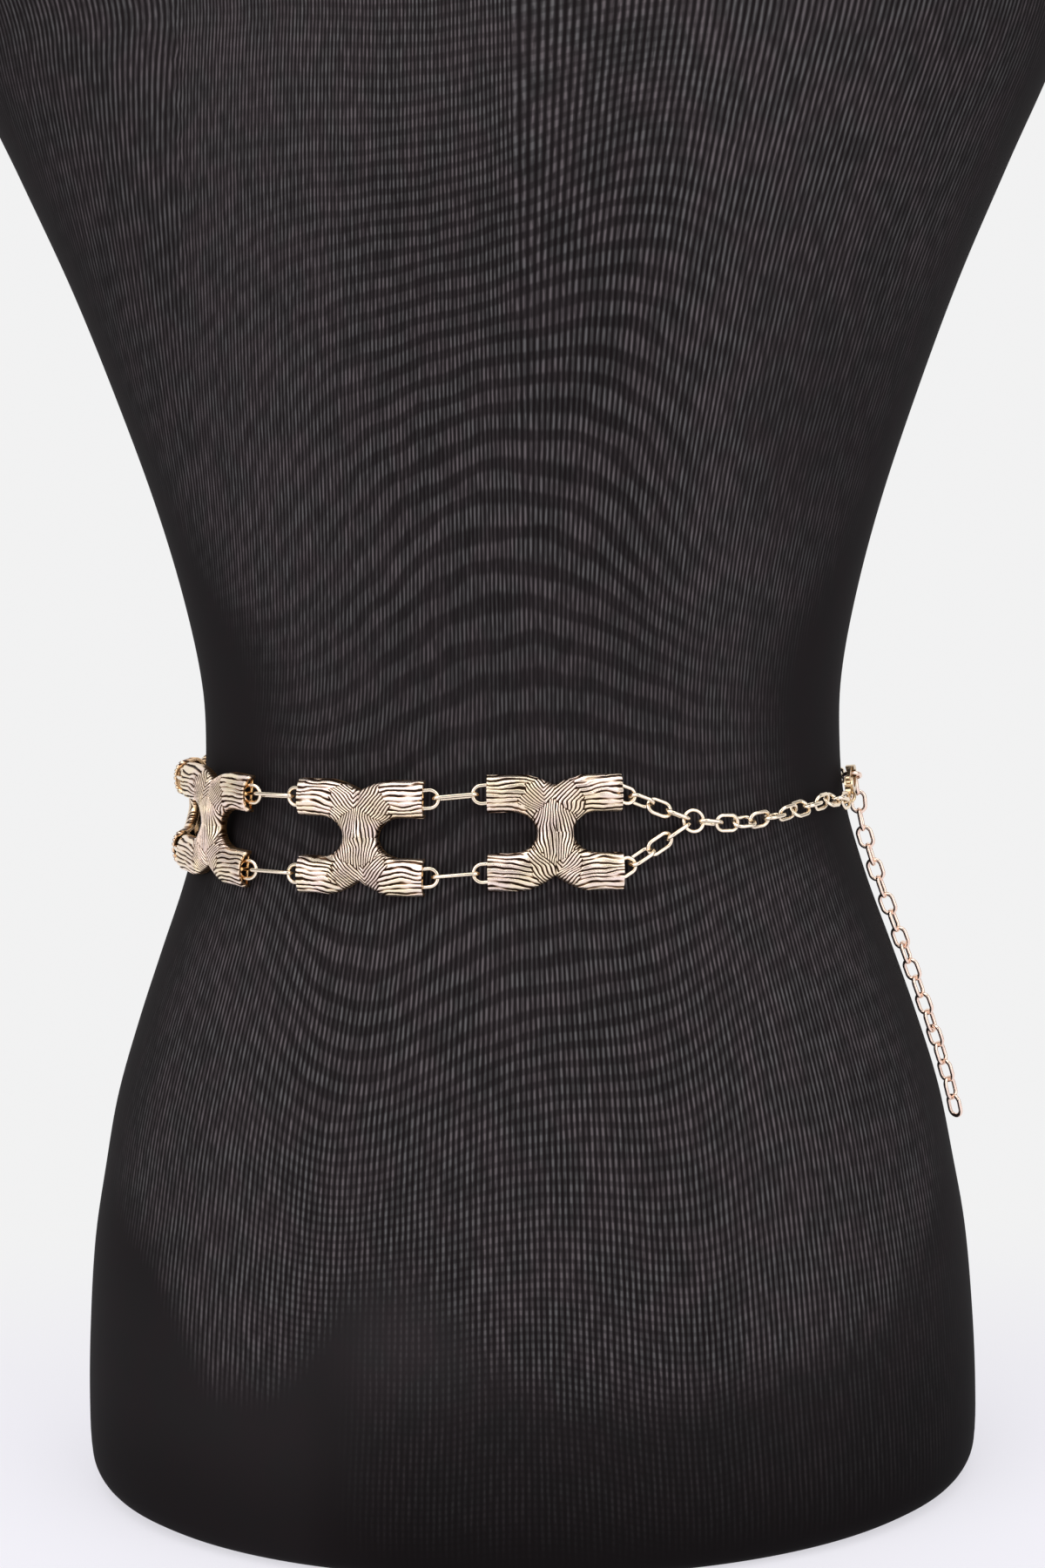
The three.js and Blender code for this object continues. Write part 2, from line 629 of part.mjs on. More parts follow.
const BACK_RING = { arc: -231.5, height: 234.4 };
const backRingCentre = surfaceFrame(BACK_RING.arc, BACK_RING.height, CHAIN_LIFT).place;
const backPoints = [surfaceFrame(HELD.arc - STEP_BACK, HELD.height, CHAIN_LIFT - 0.95).place];
backPoints.push(surfaceFrame(HELD.arc + 6, HELD.height - 0.4, CHAIN_LIFT - 0.95).place);
for (let i = 1; i < 24; i++) {
  const part = i / 24;
  const arc = THREE.MathUtils.lerp(HELD.arc + 6, BACK_RING.arc + GIRTH, part);
  const height = THREE.MathUtils.lerp(HELD.height - 0.4, BACK_RING.height, Math.min(part * 2, 1));
  backPoints.push(surfaceFrame(arc, height, CHAIN_LIFT).place);
}
backPoints.push(backRingCentre);
const backPath = smoothPath(backPoints);
const backEnd = backPath.getLength() - JOINING_RADIUS + STEP_BACK;
joinedChain('back_chain', backPath, chainSpans(0, backEnd, [11, 10, 10, 11]), GOLD);

// Hidden V between the back chain and the first cast link

addJoiningRing('back_ring', backRingCentre);
for (const row of [1, -1]) {
  const post = motifPost(motifs[0], -1, row);
  const leg = smoothPath([pointAlong(post, backRingCentre, -HOOK_BACK), backRingCentre]);
  const spans = chainSpans(0, leg.getLength() - JOINING_RADIUS + STEP_BACK, [4]);
  joinedChain(`back_v_${rowNames[row]}`, leg, spans, GOLD, { firstRoll: -MOTIF_PLACES[0].lean });
}

export default model;
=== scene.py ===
import math

import bpy
import numpy as np
from mathutils import Matrix, Vector


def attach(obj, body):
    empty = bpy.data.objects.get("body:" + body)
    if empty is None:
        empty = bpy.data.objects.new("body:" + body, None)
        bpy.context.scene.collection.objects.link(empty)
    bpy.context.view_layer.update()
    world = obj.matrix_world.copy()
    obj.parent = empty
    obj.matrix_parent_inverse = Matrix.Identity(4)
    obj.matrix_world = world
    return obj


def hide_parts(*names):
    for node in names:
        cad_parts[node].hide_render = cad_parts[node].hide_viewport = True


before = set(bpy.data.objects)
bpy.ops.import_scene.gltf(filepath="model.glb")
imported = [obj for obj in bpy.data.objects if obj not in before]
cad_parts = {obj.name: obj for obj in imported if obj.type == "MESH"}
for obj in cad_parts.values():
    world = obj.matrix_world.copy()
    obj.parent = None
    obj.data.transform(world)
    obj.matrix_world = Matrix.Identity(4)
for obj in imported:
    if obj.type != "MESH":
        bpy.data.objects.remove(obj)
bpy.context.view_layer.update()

MM = 0.001
ROOT = "belt_and_form"

# The form's cross sections: height, half width, depth to the front and to the back, roundness power.
# The corners of the lowest rows are up to 2 mm fuller than the solid's, as the photograph shows them.
SECTIONS = np.array([
    (0, 153.5, 116.0, 104.0, 2.14), (2.5, 157.5, 119.0, 107.2, 2.14), (8, 160.0, 120.8, 109.2, 2.14),
    (25, 160.9, 121.0, 111.5, 2.12), (50, 160.5, 120.0, 113.5, 2.08), (82, 158.3, 118.2, 114.5, 2.07),
    (107, 154.3, 116.0, 113.5, 2.08), (133, 149.4, 113.0, 110.5, 2.09), (159, 141.7, 107.5, 105.0, 2.1),
    (184, 133.2, 101.0, 98.0, 2.1), (210, 124.2, 94.0, 90.0, 2.1), (236, 117.4, 88.6, 84.0, 2.1),
    (256, 115.9, 86.0, 81.5, 2.1), (280, 116.8, 85.5, 82.0, 2.1), (310, 122.6, 86.5, 85.5, 2.12),
    (345, 132.4, 90.5, 91.5, 2.14), (385, 146.3, 97.5, 98.0, 2.18), (425, 161.8, 105.0, 103.5, 2.2),
    (465, 179.6, 109.0, 107.0, 2.25), (510, 200.0, 107.0, 108.5, 2.3), (545, 209.5, 101.0, 107.5, 2.3),
    (575, 210.0, 92.0, 104.5, 2.28), (600, 203.0, 82.0, 98.0, 2.26), (622, 185.0, 72.0, 89.0, 2.24),
    (640, 155.0, 62.5, 79.0, 2.2), (654, 118.0, 55.5, 68.5, 2.15), (667, 86.0, 51.8, 60.0, 2.1),
    (681, 67.0, 49.8, 54.5, 2.05), (698, 57.5, 48.6, 51.0, 2), (716, 54.0, 48.0, 49.5, 2),
    (731, 53.0, 47.5, 49.0, 2), (735, 50.5, 45.0, 46.5, 2),
])
HALF_W, FRONT, BACK, POWER = 1, 2, 3, 4


def column(key, z):
    """One column of the sections at height z, smooth between the rows."""
    z = np.asarray(z, float)
    heights = SECTIONS[:, 0]
    values = SECTIONS[:, key]
    last = len(heights) - 1
    before = np.maximum(np.arange(last + 1) - 1, 0)
    after = np.minimum(np.arange(last + 1) + 1, last)
    slopes = (values[after] - values[before]) / (heights[after] - heights[before])
    i = np.clip(np.searchsorted(heights, z, side="left") - 1, 0, last - 1)
    span = heights[i + 1] - heights[i]
    t = np.clip((z - heights[i]) / span, 0, 1)
    t2, t3 = t * t, t * t * t
    return ((2 * t3 - 3 * t2 + 1) * values[i] + (t3 - 2 * t2 + t) * span * slopes[i]
            + (3 * t2 - 2 * t3) * values[i + 1] + (t3 - t2) * span * slopes[i + 1])


def form_point(angle, z):
    """A point of the form's surface: angle 0 is the front, and grows to the clasp's side."""
    angle, z = np.broadcast_arrays(np.asarray(angle, float), np.asarray(z, float))
    power = 2 / column(POWER, z)
    depth = np.where(np.cos(angle) > 0, column(FRONT, z), column(BACK, z))
    x = column(HALF_W, z) * np.sign(np.sin(angle)) * np.abs(np.sin(angle)) ** power
    y = -depth * np.sign(np.cos(angle)) * np.abs(np.cos(angle)) ** power
    return np.stack([x, y, z], -1)


def form_gap(p):
    depth = column(FRONT if p[1] < 0 else BACK, p[2])
    power = column(POWER, p[2])
    level = ((abs(p[0]) / column(HALF_W, p[2])) ** power + (abs(p[1]) / depth) ** power) ** (1 / power)
    return math.hypot(p[0], p[1]) * (1 - 1 / level)


# Distances round the belt are the form's own times a factor, as in the part's source
BELT_HEIGHT, BELT_STRETCH = 235.2, 1.0277
ring_angles = np.linspace(0, 2 * np.pi, 1441)
ring = form_point(ring_angles, BELT_HEIGHT)
ring_steps = np.linalg.norm(np.diff(ring, axis=0), axis=1) * BELT_STRETCH
ring_arcs = np.concatenate([[0], np.cumsum(ring_steps)])
GIRTH = ring_arcs[-1]


def angle_at(arc):
    return np.interp(np.mod(arc, GIRTH), ring_arcs, ring_angles)


def unit(v):
    return v / np.linalg.norm(v)


def surface_frame(arc, z, lift):
    """(place, around, up, out) on the form, at a distance round the waist and a height."""
    angle = angle_at(arc)
    around = unit(form_point(angle + 0.01, z) - form_point(angle - 0.01, z))
    upward = unit(form_point(angle, z + 1) - form_point(angle, z - 1))
    out = unit(np.cross(around, upward))
    return form_point(angle, z) + out * lift, around, np.cross(out, around), out


def placed(place, x, y, z, turn=0.0):
    """4x4 of a frame, turned about its own z axis by so many degrees."""
    c, s = math.cos(math.radians(turn)), math.sin(math.radians(turn))
    m = np.eye(4)
    m[:3, 0] = x * c + y * s
    m[:3, 1] = y * c - x * s
    m[:3, 2] = z
    m[:3, 3] = place
    return m


def move(points, matrix):
    return points @ matrix[:3, :3].T + matrix[:3, 3]


def make_object(name, points, faces, material, body=ROOT, smooth=True):
    """One mesh object, its points given in millimetres. It rides on a body, unless that is None."""
    mesh = bpy.data.meshes.new(name)
    mesh.from_pydata((np.asarray(points) * MM).tolist(), [], faces)
    mesh.materials.append(material)
    if smooth:
        mesh.polygons.foreach_set("use_smooth", [True] * len(mesh.polygons))
    mesh.update()
    obj = bpy.data.objects.new(name, mesh)
    bpy.context.scene.collection.objects.link(obj)
    if body:
        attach(obj, body)
    return obj


# Materials: small builders of shader nodes first, then one function for each finish

def new_material(name, **inputs):
    material = bpy.data.materials.new(name)
    material.use_nodes = True
    shader = material.node_tree.nodes["Principled BSDF"]
    for key, value in inputs.items():
        shader.inputs[key.replace("_", " ")].default_value = value
    return material, material.node_tree, shader


def add_node(tree, kind, **values):
    node = tree.nodes.new(kind)
    for key, value in values.items():
        setattr(node, key, value)
    return node


def math_node(tree, operation, a, b=None):
    node = add_node(tree, "ShaderNodeMath", operation=operation)
    for i, value in enumerate((a, b)):
        if value is None:
            continue
        if isinstance(value, (int, float)):
            node.inputs[i].default_value = value
        else:
            tree.links.new(value, node.inputs[i])
    return node.outputs[0]


def attribute(tree, name):
    return add_node(tree, "ShaderNodeAttribute", attribute_name=name).outputs["Fac"]


def object_place(tree):
    return add_node(tree, "ShaderNodeTexCoord").outputs["Object"]


def noise(tree, place, scale, detail=2.0, dimensions="3D"):
    node = add_node(tree, "ShaderNodeTexNoise", noise_dimensions=dimensions)
    node.inputs["Scale"].default_value = scale
    node.inputs["Detail"].default_value = detail
    tree.links.new(place, node.inputs["Vector"])
    return node.outputs["Fac"]


def stretched(tree, value, low, high, to_low=0.0, to_high=1.0, shape="LINEAR"):
    """The value's stretch from low to high, brought to another range and held at its ends."""
    node = add_node(tree, "ShaderNodeMapRange", interpolation_type=shape)
    node.inputs["From Min"].default_value = low
    node.inputs["From Max"].default_value = high
    node.inputs["To Min"].default_value = to_low
    node.inputs["To Max"].default_value = to_high
    tree.links.new(value, node.inputs["Value"])
    return node.outputs["Result"]


def mixed(tree, factor, first, second):
    """A colour between two, each a fixed colour or another node's output."""
    node = add_node(tree, "ShaderNodeMix", data_type="RGBA")
    tree.links.new(factor, node.inputs["Factor"])
    for key, colour in (("A", first), ("B", second)):
        if isinstance(colour, tuple):
            node.inputs[key].default_value = (*colour, 1)
        else:
            tree.links.new(colour, node.inputs[key])
    return node.outputs["Result"]


def patchy_polish_group():
    """Roughness that changes in small patches between the two that are given."""
    group = bpy.data.node_groups.new("patchy_polish", "ShaderNodeTree")
    group.interface.new_socket(name="Place", in_out="INPUT", socket_type="NodeSocketVector")
    for key in ("Smoothest", "Roughest"):
        group.interface.new_socket(name=key, in_out="INPUT", socket_type="NodeSocketFloat")
    group.interface.new_socket(name="Roughness", in_out="OUTPUT", socket_type="NodeSocketFloat")
    given = add_node(group, "NodeGroupInput")
    result = add_node(group, "NodeGroupOutput")
    spread = add_node(group, "ShaderNodeMapRange")
    group.links.new(noise(group, given.outputs["Place"], 420), spread.inputs["Value"])
    group.links.new(given.outputs["Smoothest"], spread.inputs["To Min"])
    group.links.new(given.outputs["Roughest"], spread.inputs["To Max"])
    group.links.new(spread.outputs["Result"], result.inputs["Roughness"])
    return group


PATCHY_POLISH = patchy_polish_group()
POLISH_GRAIN = 0.04


def metal(name, colour, roughness):
    material, tree, shader = new_material(name, Base_Color=(*colour, 1), Metallic=1.0, Roughness=roughness)
    polish = add_node(tree, "ShaderNodeGroup", node_tree=PATCHY_POLISH)
    tree.links.new(object_place(tree), polish.inputs["Place"])
    polish.inputs["Smoothest"].default_value = roughness - POLISH_GRAIN
    polish.inputs["Roughest"].default_value = roughness + POLISH_GRAIN
    tree.links.new(polish.outputs["Roughness"], shader.inputs["Roughness"])
    return material


def engraved_metal():
    """Polished gold. 'groove' is 1 at a groove's bottom, where it is dark; 'warm_reflection' is 1 on the
    smooth sides and inside, which get a warmer yellow: a painted warm reflection."""
    material, tree, shader = new_material("engraved_gold", Metallic=1.0, Roughness=0.3)
    tint = add_node(tree, "ShaderNodeValToRGB")
    tint.color_ramp.elements[0].position = 0.38
    tint.color_ramp.elements[0].color = (1.0, 0.86, 0.64, 1)
    tint.color_ramp.elements[1].position = 0.62
    tint.color_ramp.elements[1].color = (1.0, 0.83, 0.735, 1)
    tree.links.new(noise(tree, object_place(tree), 110, 3), tint.inputs["Fac"])
    # Painted reflection: the smooth sides and inside are tinted a warmer yellow
    tint_and_reflection = mixed(tree, attribute(tree, "warm_reflection"), tint.outputs["Color"], (1.0, 0.62, 0.28))
    groove = attribute(tree, "groove")
    shade = add_node(tree, "ShaderNodeValToRGB")
    shade.color_ramp.elements[0].color = (1, 1, 1, 1)
    shade.color_ramp.elements[1].position = 0.78
    shade.color_ramp.elements[1].color = (0.030, 0.020, 0.016, 1)
    for position, colour in ((0.22, (0.86, 0.80, 0.74)), (0.48, (0.21, 0.13, 0.085))):
        element = shade.color_ramp.elements.new(position)
        element.color = (*colour, 1)
    tree.links.new(groove, shade.inputs["Fac"])
    product = add_node(tree, "ShaderNodeVectorMath", operation="MULTIPLY")
    tree.links.new(tint_and_reflection, product.inputs[0])
    tree.links.new(shade.outputs["Color"], product.inputs[1])
    tree.links.new(product.outputs["Vector"], shader.inputs["Base Color"])
    tree.links.new(stretched(tree, groove, 0, 1, 0.27, 0.6), shader.inputs["Roughness"])
    return material


# A whole number of ribs, about 1.5 mm apart, goes round the form
RIB_PITCH = GIRTH / round(GIRTH / 1.5)


def knit_material():
    """Black fine rib knit. UV map in millimetres: u round the form, v up. Attributes: 'band' counts
    the pull lines of the stretched cloth and 'pull' is how strong they are; 'gain' is how far the ribs
    show, less at the sides as painted shade; 'calm' the brightness where they don't, with painted shade
    by the table and a painted highlight low on the left; and 'painted_shade_scale' scales the whole as
    painted shade."""
    material, tree, shader = new_material("knit", Roughness=0.85, Metallic=0.0)
    shader.inputs["Specular IOR Level"].default_value = 0.07
    uv = add_node(tree, "ShaderNodeUVMap", uv_map="knit")
    split = add_node(tree, "ShaderNodeSeparateXYZ")
    tree.links.new(uv.outputs["UV"], split.inputs[0])
    u, v = split.outputs[0], split.outputs[1]
    gain = attribute(tree, "gain")

    def plus(a, b):
        return math_node(tree, "ADD", a, b)

    def times(a, b):
        return math_node(tree, "MULTIPLY", a, b)

    def less(a, b):
        return math_node(tree, "SUBTRACT", a, b)

    def streaks(across, upward, shift):
        place = add_node(tree, "ShaderNodeCombineXYZ")
        tree.links.new(times(u, across), place.inputs[0])
        tree.links.new(plus(times(v, upward), shift), place.inputs[1])
        return noise(tree, place.outputs[0], 1.0, 1.0, "2D")

    # Ribs, broken up into short dashes
    rib = math_node(tree, "SINE", times(u, 2 * math.pi / RIB_PITCH))
    rib = math_node(tree, "POWER", plus(times(rib, 0.5), 0.5), 1.6)
    dash = stretched(tree, streaks(1.1, 0.11, 0.0), 0.40, 0.62)
    thread = times(rib, plus(times(dash, 0.55), 0.38))

    # Pull lines: dark rows that wander a little
    wander = times(less(streaks(0.05, 0.06, 4.0), 0.5), 0.5)
    wave = math_node(tree, "SINE", times(plus(attribute(tree, "band"), wander), 2 * math.pi))
    row = stretched(tree, wave, -0.75, 0.45, -0.6, 0.0, "SMOOTHSTEP")
    lit = plus(times(row, attribute(tree, "pull")), 1.0)

    # Brightness: the ribs where they show, with faint clouds, and the calm cloth where they don't
    light = times(times(plus(thread, 0.022), lit), gain)
    # Where no ribs show, the calm brightness carries painted shade by the table and a painted highlight low
    # on the left
    light = plus(light, times(less(1.0, gain), attribute(tree, "calm")))
    clouds = streaks(0.075, 0.06, 9.0)
    light = plus(light, times(times(less(clouds, 0.5), 0.06), gain))
    tint = mixed(tree, stretched(tree, clouds, 0.4, 0.6), (0.104, 0.099, 0.102), (0.112, 0.096, 0.102))
    colour = mixed(tree, light, (0.0060, 0.0042, 0.0047), tint)
    scale = add_node(tree, "ShaderNodeVectorMath", operation="SCALE")
    tree.links.new(colour, scale.inputs[0])
    # Painted shade: the whole is scaled darker towards the table and the sides
    tree.links.new(attribute(tree, "painted_shade_scale"), scale.inputs["Scale"])
    tree.links.new(scale.outputs["Vector"], shader.inputs["Base Color"])

    bump = add_node(tree, "ShaderNodeBump")
    bump.inputs["Strength"].default_value = 0.5
    bump.inputs["Distance"].default_value = 0.0002
    tree.links.new(times(thread, gain), bump.inputs["Height"])
    tree.links.new(bump.outputs["Normal"], shader.inputs["Normal"])
    return material


GOLD = metal("polished_gold", (0.98, 0.84, 0.66), 0.2)
ROSE = metal("rose_gold", (0.97, 0.76, 0.64), 0.2)
# The clasp's gold is a darker copy, painting the dark reflection of the black cloth
CLASP_GOLD_PAINTED_DARK = metal("clasp_gold", (0.72, 0.55, 0.36), 0.24)
ENGRAVED = engraved_metal()
KNIT = knit_material()


# Dress form

def soft_step(x, low, high):
    t = np.clip((x - low) / (high - low), 0, 1)
    return t * t * (3 - 2 * t)


# How the pull lines of the stretched cloth lean, in degrees, rising to the right: a row for each height
# and a column for each distance across the front, as measured on the photograph and rounded
LEAN_X = [-91, -74, -57, -40, -22, -5, 13, 30, 48, 66, 84]
LEANS = np.array([
    (70, -16, -2, 4, 0, 10, 1, -10, -18, -6, 15, 0),
    (103, -26, -7, 8, 9, 12, 5, -5, -14, -5, 26, 0),
    (136, -36, -26, 10, 23, 23, 12, 0, -5, 12, 35, 7),
    (168, -49, -50, -3, 23, 27, 15, 6, 3, 25, 40, 17),
    (200, -48, -55, -15, 34, 33, 13, 5, 7, 26, 37, 33),
    (274, -5, 7, 27, 33, 24, 6, -4, -21, -22, -10, -6),
    (308, 10, 33, 42, 42, 25, 7, -20, -32, -38, -24, -6),
    (326, 45, 50, 50, 46, 27, 0, -22, -46, -54, -48, -32),
    (360, 62, 52, 35, 29, 21, 7, -12, -37, -60, -55, -44),
    (394, 43, 40, 19, 15, 15, 13, 9, -10, -42, -40, -8),
    (427, 33, 19, 8, 8, 11, 18, 19, 18, -15, -48, -15),
    (461, 12, 2, -2, 4, 11, 18, 22, 20, 5, -20, -12),
    (495, 3, 0, -5, -3, 6, 10, 12, 9, 5, 2, -4),
])
# Distance from one pull line to the next, at the middle of the front, by height, measured there too
PITCH_HEIGHTS = [0, 71, 90, 112, 134, 156, 177, 192, 213, 240,
                 279, 305, 329, 352, 375, 396, 419, 441, 465, 740]
PITCHES = [2.3, 2.4, 2.8, 3.4, 4.0, 4.8, 6.8, 8.6, 10, 12.5, 14, 12.4, 11.5, 10.8, 8.5, 7, 6, 4.9, 4.2, 4]
TRACE_STEP = 2.0
TRACE_STEPS = 110


def band_phase(x, z):
    """Number of the pull line at a place. Each line starts at the middle of the front and is followed
    to both sides by its lean."""
    levels = np.arange(-300, 1101.0)
    lines_per_level = 1 / np.interp(levels[:-1] + 0.5, PITCH_HEIGHTS, PITCHES)
    count = np.concatenate([[0], np.cumsum(lines_per_level)])
    phase = np.zeros_like(z)
    for side in (-1, 1):
        line = levels.copy()
        for i in range(TRACE_STEPS):
            at = side * i * TRACE_STEP
            lean = [np.interp(at, LEAN_X, row[1:]) for row in LEANS]
            lean = np.array(lean) * (1 - 0.8 * soft_step(abs(at), 95, 150))
            slope = np.tan(np.radians(np.interp(line, LEANS[:, 0], lean)))
            following = line + side * TRACE_STEP * slope
            part = side * x / TRACE_STEP - i
            here = (part >= 0) & (part < 1) & ((x > 0) == (side > 0))
            part = part[here]
            phase[here] = (np.interp(z[here], line, count) * (1 - part)
                           + np.interp(z[here], following, count) * part)
            line = following
    return phase


def bell(value, middle, width):
    return np.exp(-((value - middle) / width) ** 2)


# Upper edge of the calm cloth along the bottom, from left to right
CALM_EDGE_X = [-150, -128, -121, -106, -85, -70, -60, -48, -35, -23, -15, 10, 46, 81, 119, 139, 150]
CALM_EDGE_Z = [110, 95, 82, 58, 60, 76, 90, 97, 95, 83, 72, 58, 56, 61, 72, 100, 115]
# Strength of the pull lines from left to right, above and below the waist
PULL_ABOVE_X = [-100, -74, -57, -40, 35, 48, 65, 85]
PULL_ABOVE = [0.35, 0.5, 0.7, 1.0, 1.1, 0.85, 0.35, 0.15]
PULL_BELOW_X = [-100, -82, -72, 42, 65, 85]
PULL_BELOW = [0.3, 0.7, 1, 1, 0.7, 0.4]


def knit_gain(x, z, facing):
    """How far the ribs show: less at the sides, by the belt and in the calm cloth at the bottom. Less at the
    sides paints shade there.
    """
    waist = bell(z, 272, 48)
    # Painted shade: the ribs fade to the darker calm cloth where the form turns away at the sides
    gain = 1 - soft_step(facing, 0.84 - 0.26 * waist, 0.985 - 0.16 * waist)
    edge = np.interp(x, CALM_EDGE_X, CALM_EDGE_Z)
    above_edge = soft_step(z, edge - 12, edge + 12)
    ribs_below = soft_step(x, -66, -40) * 0.24 * soft_step(z, 2, 30)
    gain = gain * (above_edge + (1 - above_edge) * ribs_below)
    gain = gain * (1 - 0.45 * bell(z, 242, 20)) * (1 - 0.30 * bell(z, 285, 26))
    gain = gain * (1 - 0.16 * soft_step(np.abs(x), 60, 110) * soft_step(z, 300, 420))
    return gain * (1 - 0.55 * soft_step(x, 58, 92) * bell(z, 362, 55))


def knit_calm_shade_and_highlight(x, z):
    """Brightness where no ribs show, with painted light: painted shade darker towards the table, and a
    painted highlight as a lighter patch low on the left and a lighter stretch low at the far left.
    """
    patch = np.exp(-(((x + 42) / 24) ** 2 + ((z - 74) / 20) ** 2))
    calm = 0.068 - 0.05 * soft_step(-z, -46, -10) + 0.09 * patch
    return calm + 0.03 * soft_step(-x, 62, 80) * soft_step(-z, -100, -60)


def knit_pull(x, z):
    """Strength of the pull lines: weaker at the sides, high up and low down."""
    above = soft_step(z, 240, 300)
    pull_above = np.interp(x, PULL_ABOVE_X, PULL_ABOVE)
    pull_below = np.interp(x, PULL_BELOW_X, PULL_BELOW)
    pull = pull_below * (1 - above) + pull_above * above
    return pull * (1 - 0.3 * soft_step(z, 430, 480)) * (1 - 0.2 * soft_step(-z, -170, -130))


def knit_painted_shade(x, z, facing):
    """Painted shade, scaling the whole: darker towards the table and the sides, most of all low in the middle
    and right.
    """
    painted_shade_scale = (0.85 + 0.15 * soft_step(z, 10, 120)) * (1 - 0.3 * soft_step(facing, 0.55, 1.0))
    return painted_shade_scale * (1 - 0.32 * soft_step(x, -66, -40) * soft_step(-z, -75, -35))


FORM_TOP, NECK_FOOT, BASE_ROUNDING = 735, 716, 8
FORM_AROUND = 240


def form_shell():
    """Points and faces of the closed form, and the knit's UV at each corner of each face."""
    rows = np.unique(np.concatenate([
        np.linspace(0, BASE_ROUNDING, 9),
        np.linspace(BASE_ROUNDING, NECK_FOOT, 190),
        np.linspace(NECK_FOOT, FORM_TOP, 14),
    ]))
    angles = np.arange(FORM_AROUND) / FORM_AROUND * 2 * np.pi
    points = form_point(angles[None, :], rows[:, None]).reshape(-1, 3)
    arcs = np.interp(angles, ring_angles, ring_arcs)
    x, y, z = points.T
    # The ribs lean a little on the left above the waist, in front alone
    skew = -0.0027 * np.clip(-x, 0, 110) * np.clip(z - 262, 0, 300)
    skew = skew * (1 - soft_step(y, -40, 80)) * (1 - soft_step(z, 500, 640))
    faces, uvs = [], []
    for i in range(len(rows) - 1):
        for j in range(FORM_AROUND):
            k = (j + 1) % FORM_AROUND
            a, b = i * FORM_AROUND + j, i * FORM_AROUND + k
            d, c = a + FORM_AROUND, b + FORM_AROUND
            faces.append((a, b, c, d))
            past_back = GIRTH if j >= FORM_AROUND // 2 else 0
            u0 = arcs[j] - past_back
            u1 = (arcs[k] if k else GIRTH) - past_back
            uvs.extend([(u0 + skew[a], rows[i]), (u1 + skew[b], rows[i]),
                        (u1 + skew[c], rows[i + 1]), (u0 + skew[d], rows[i + 1])])
    bottom = tuple(range(FORM_AROUND))[::-1]
    top = tuple(range((len(rows) - 1) * FORM_AROUND, len(rows) * FORM_AROUND))
    faces.extend([bottom, top])
    uvs.extend((x[corner], y[corner]) for corner in (*bottom, *top))
    return points, faces, uvs


def add_form():
    points, faces, uvs = form_shell()
    form = make_object("knit_form", points, faces, KNIT)
    layer = form.data.uv_layers.new(name="knit")
    layer.data.foreach_set("uv", np.array(uvs, float).ravel())
    x, y, z = points.T
    facing = np.abs(x) / column(HALF_W, z)
    looks = {
        "band": band_phase(x, z),
        "pull": knit_pull(x, z),
        "gain": knit_gain(x, z, facing),
        "calm": knit_calm_shade_and_highlight(x, z),
        "painted_shade_scale": knit_painted_shade(x, z, facing),
    }
    for name, values in looks.items():
        form.data.attributes.new(name, "FLOAT", "POINT").data.foreach_set("value", values)
    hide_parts("form")


add_form()

# Cast links: two C-shaped half tubes, back to back
MOTIF_LENGTH, MOTIF_HEIGHT, MOTIF_GAP, MOTIF_COLUMN = 43.9, 38.2, 13.35, 12.1
MOTIF_DEPTH, MOTIF_SIDE, MOTIF_WALL, MOTIF_BEND = 5.4, 2.2, 1.1, 165
NOTCH_CENTRE, VALLEY_TOP, VALLEY_BOTTOM, SHOULDER, VALLEY_T = 14.3, 3.5, 4.9, 11, 0.42
POST_X, POST_LEVEL, POST_RADIUS, BAR_RADIUS, BAR_LEVEL = 21.0, 2.5, 0.7, 0.55, 0.6
HALF, TOP = MOTIF_LENGTH / 2, MOTIF_HEIGHT / 2
ARM_MIDDLE = (TOP + MOTIF_GAP / 2) / 2


def notch_edge(t):
    y = MOTIF_GAP / 2
    turn = np.clip(t / 0.5, 0, 1) * np.pi / 2
    along = np.clip((t - 0.5) / 0.5, 0, 1)
    reach = NOTCH_CENTRE - MOTIF_COLUMN / 2
    x = -NOTCH_CENTRE + reach * np.cos(turn) - (HALF - NOTCH_CENTRE) * along
    return np.stack([x, y * np.sin(turn)], -1)


def outer_edge(t, valley):
    x = HALF * np.clip((t - VALLEY_T) / (1 - VALLEY_T), 0, 1)
    drop = valley * np.clip(1 - x / SHOULDER, 0, 1) ** 1.6
    y = np.where(t <= VALLEY_T, (TOP - valley) * t / VALLEY_T, TOP - drop)
    return np.stack([-x, y], -1)


def dome(s, t):
    spread = 1 + np.minimum(t / VALLEY_T, 1) * 0.93 + np.where(t > VALLEY_T, 0.07, 0)
    return MOTIF_SIDE + (MOTIF_DEPTH - MOTIF_SIDE) * np.sqrt(np.maximum(1 - (1 - s * spread) ** 2, 0))


def bend(p):
    turn = p[..., 0] / MOTIF_BEND
    radius = MOTIF_BEND + p[..., 2]
    return np.stack([radius * np.sin(turn), p[..., 1], radius * np.cos(turn) - MOTIF_BEND], -1)


def value_noise(x, y, seed):
    """Smooth noise, -1 to 1, on a lattice of unit cells that repeats after 64."""
    table = np.random.default_rng(seed).uniform(-1, 1, (64, 64))
    xi, yi = np.floor(x).astype(int), np.floor(y).astype(int)
    fx, fy = x - xi, y - yi
    fx, fy = fx * fx * (3 - 2 * fx), fy * fy * (3 - 2 * fy)
    pick = lambda a, b: table[a % 64, b % 64]
    low = pick(xi, yi) * (1 - fx) + pick(xi + 1, yi) * fx
    high = pick(xi, yi + 1) * (1 - fx) + pick(xi + 1, yi + 1) * fx
    return low * (1 - fy) + high * fy


def ridges(phase, low=0.2, high=0.66):
    """1 on a ridge, 0 in the narrow groove beside it."""
    return soft_step(np.abs(np.sin(np.pi * phase)), low, high)


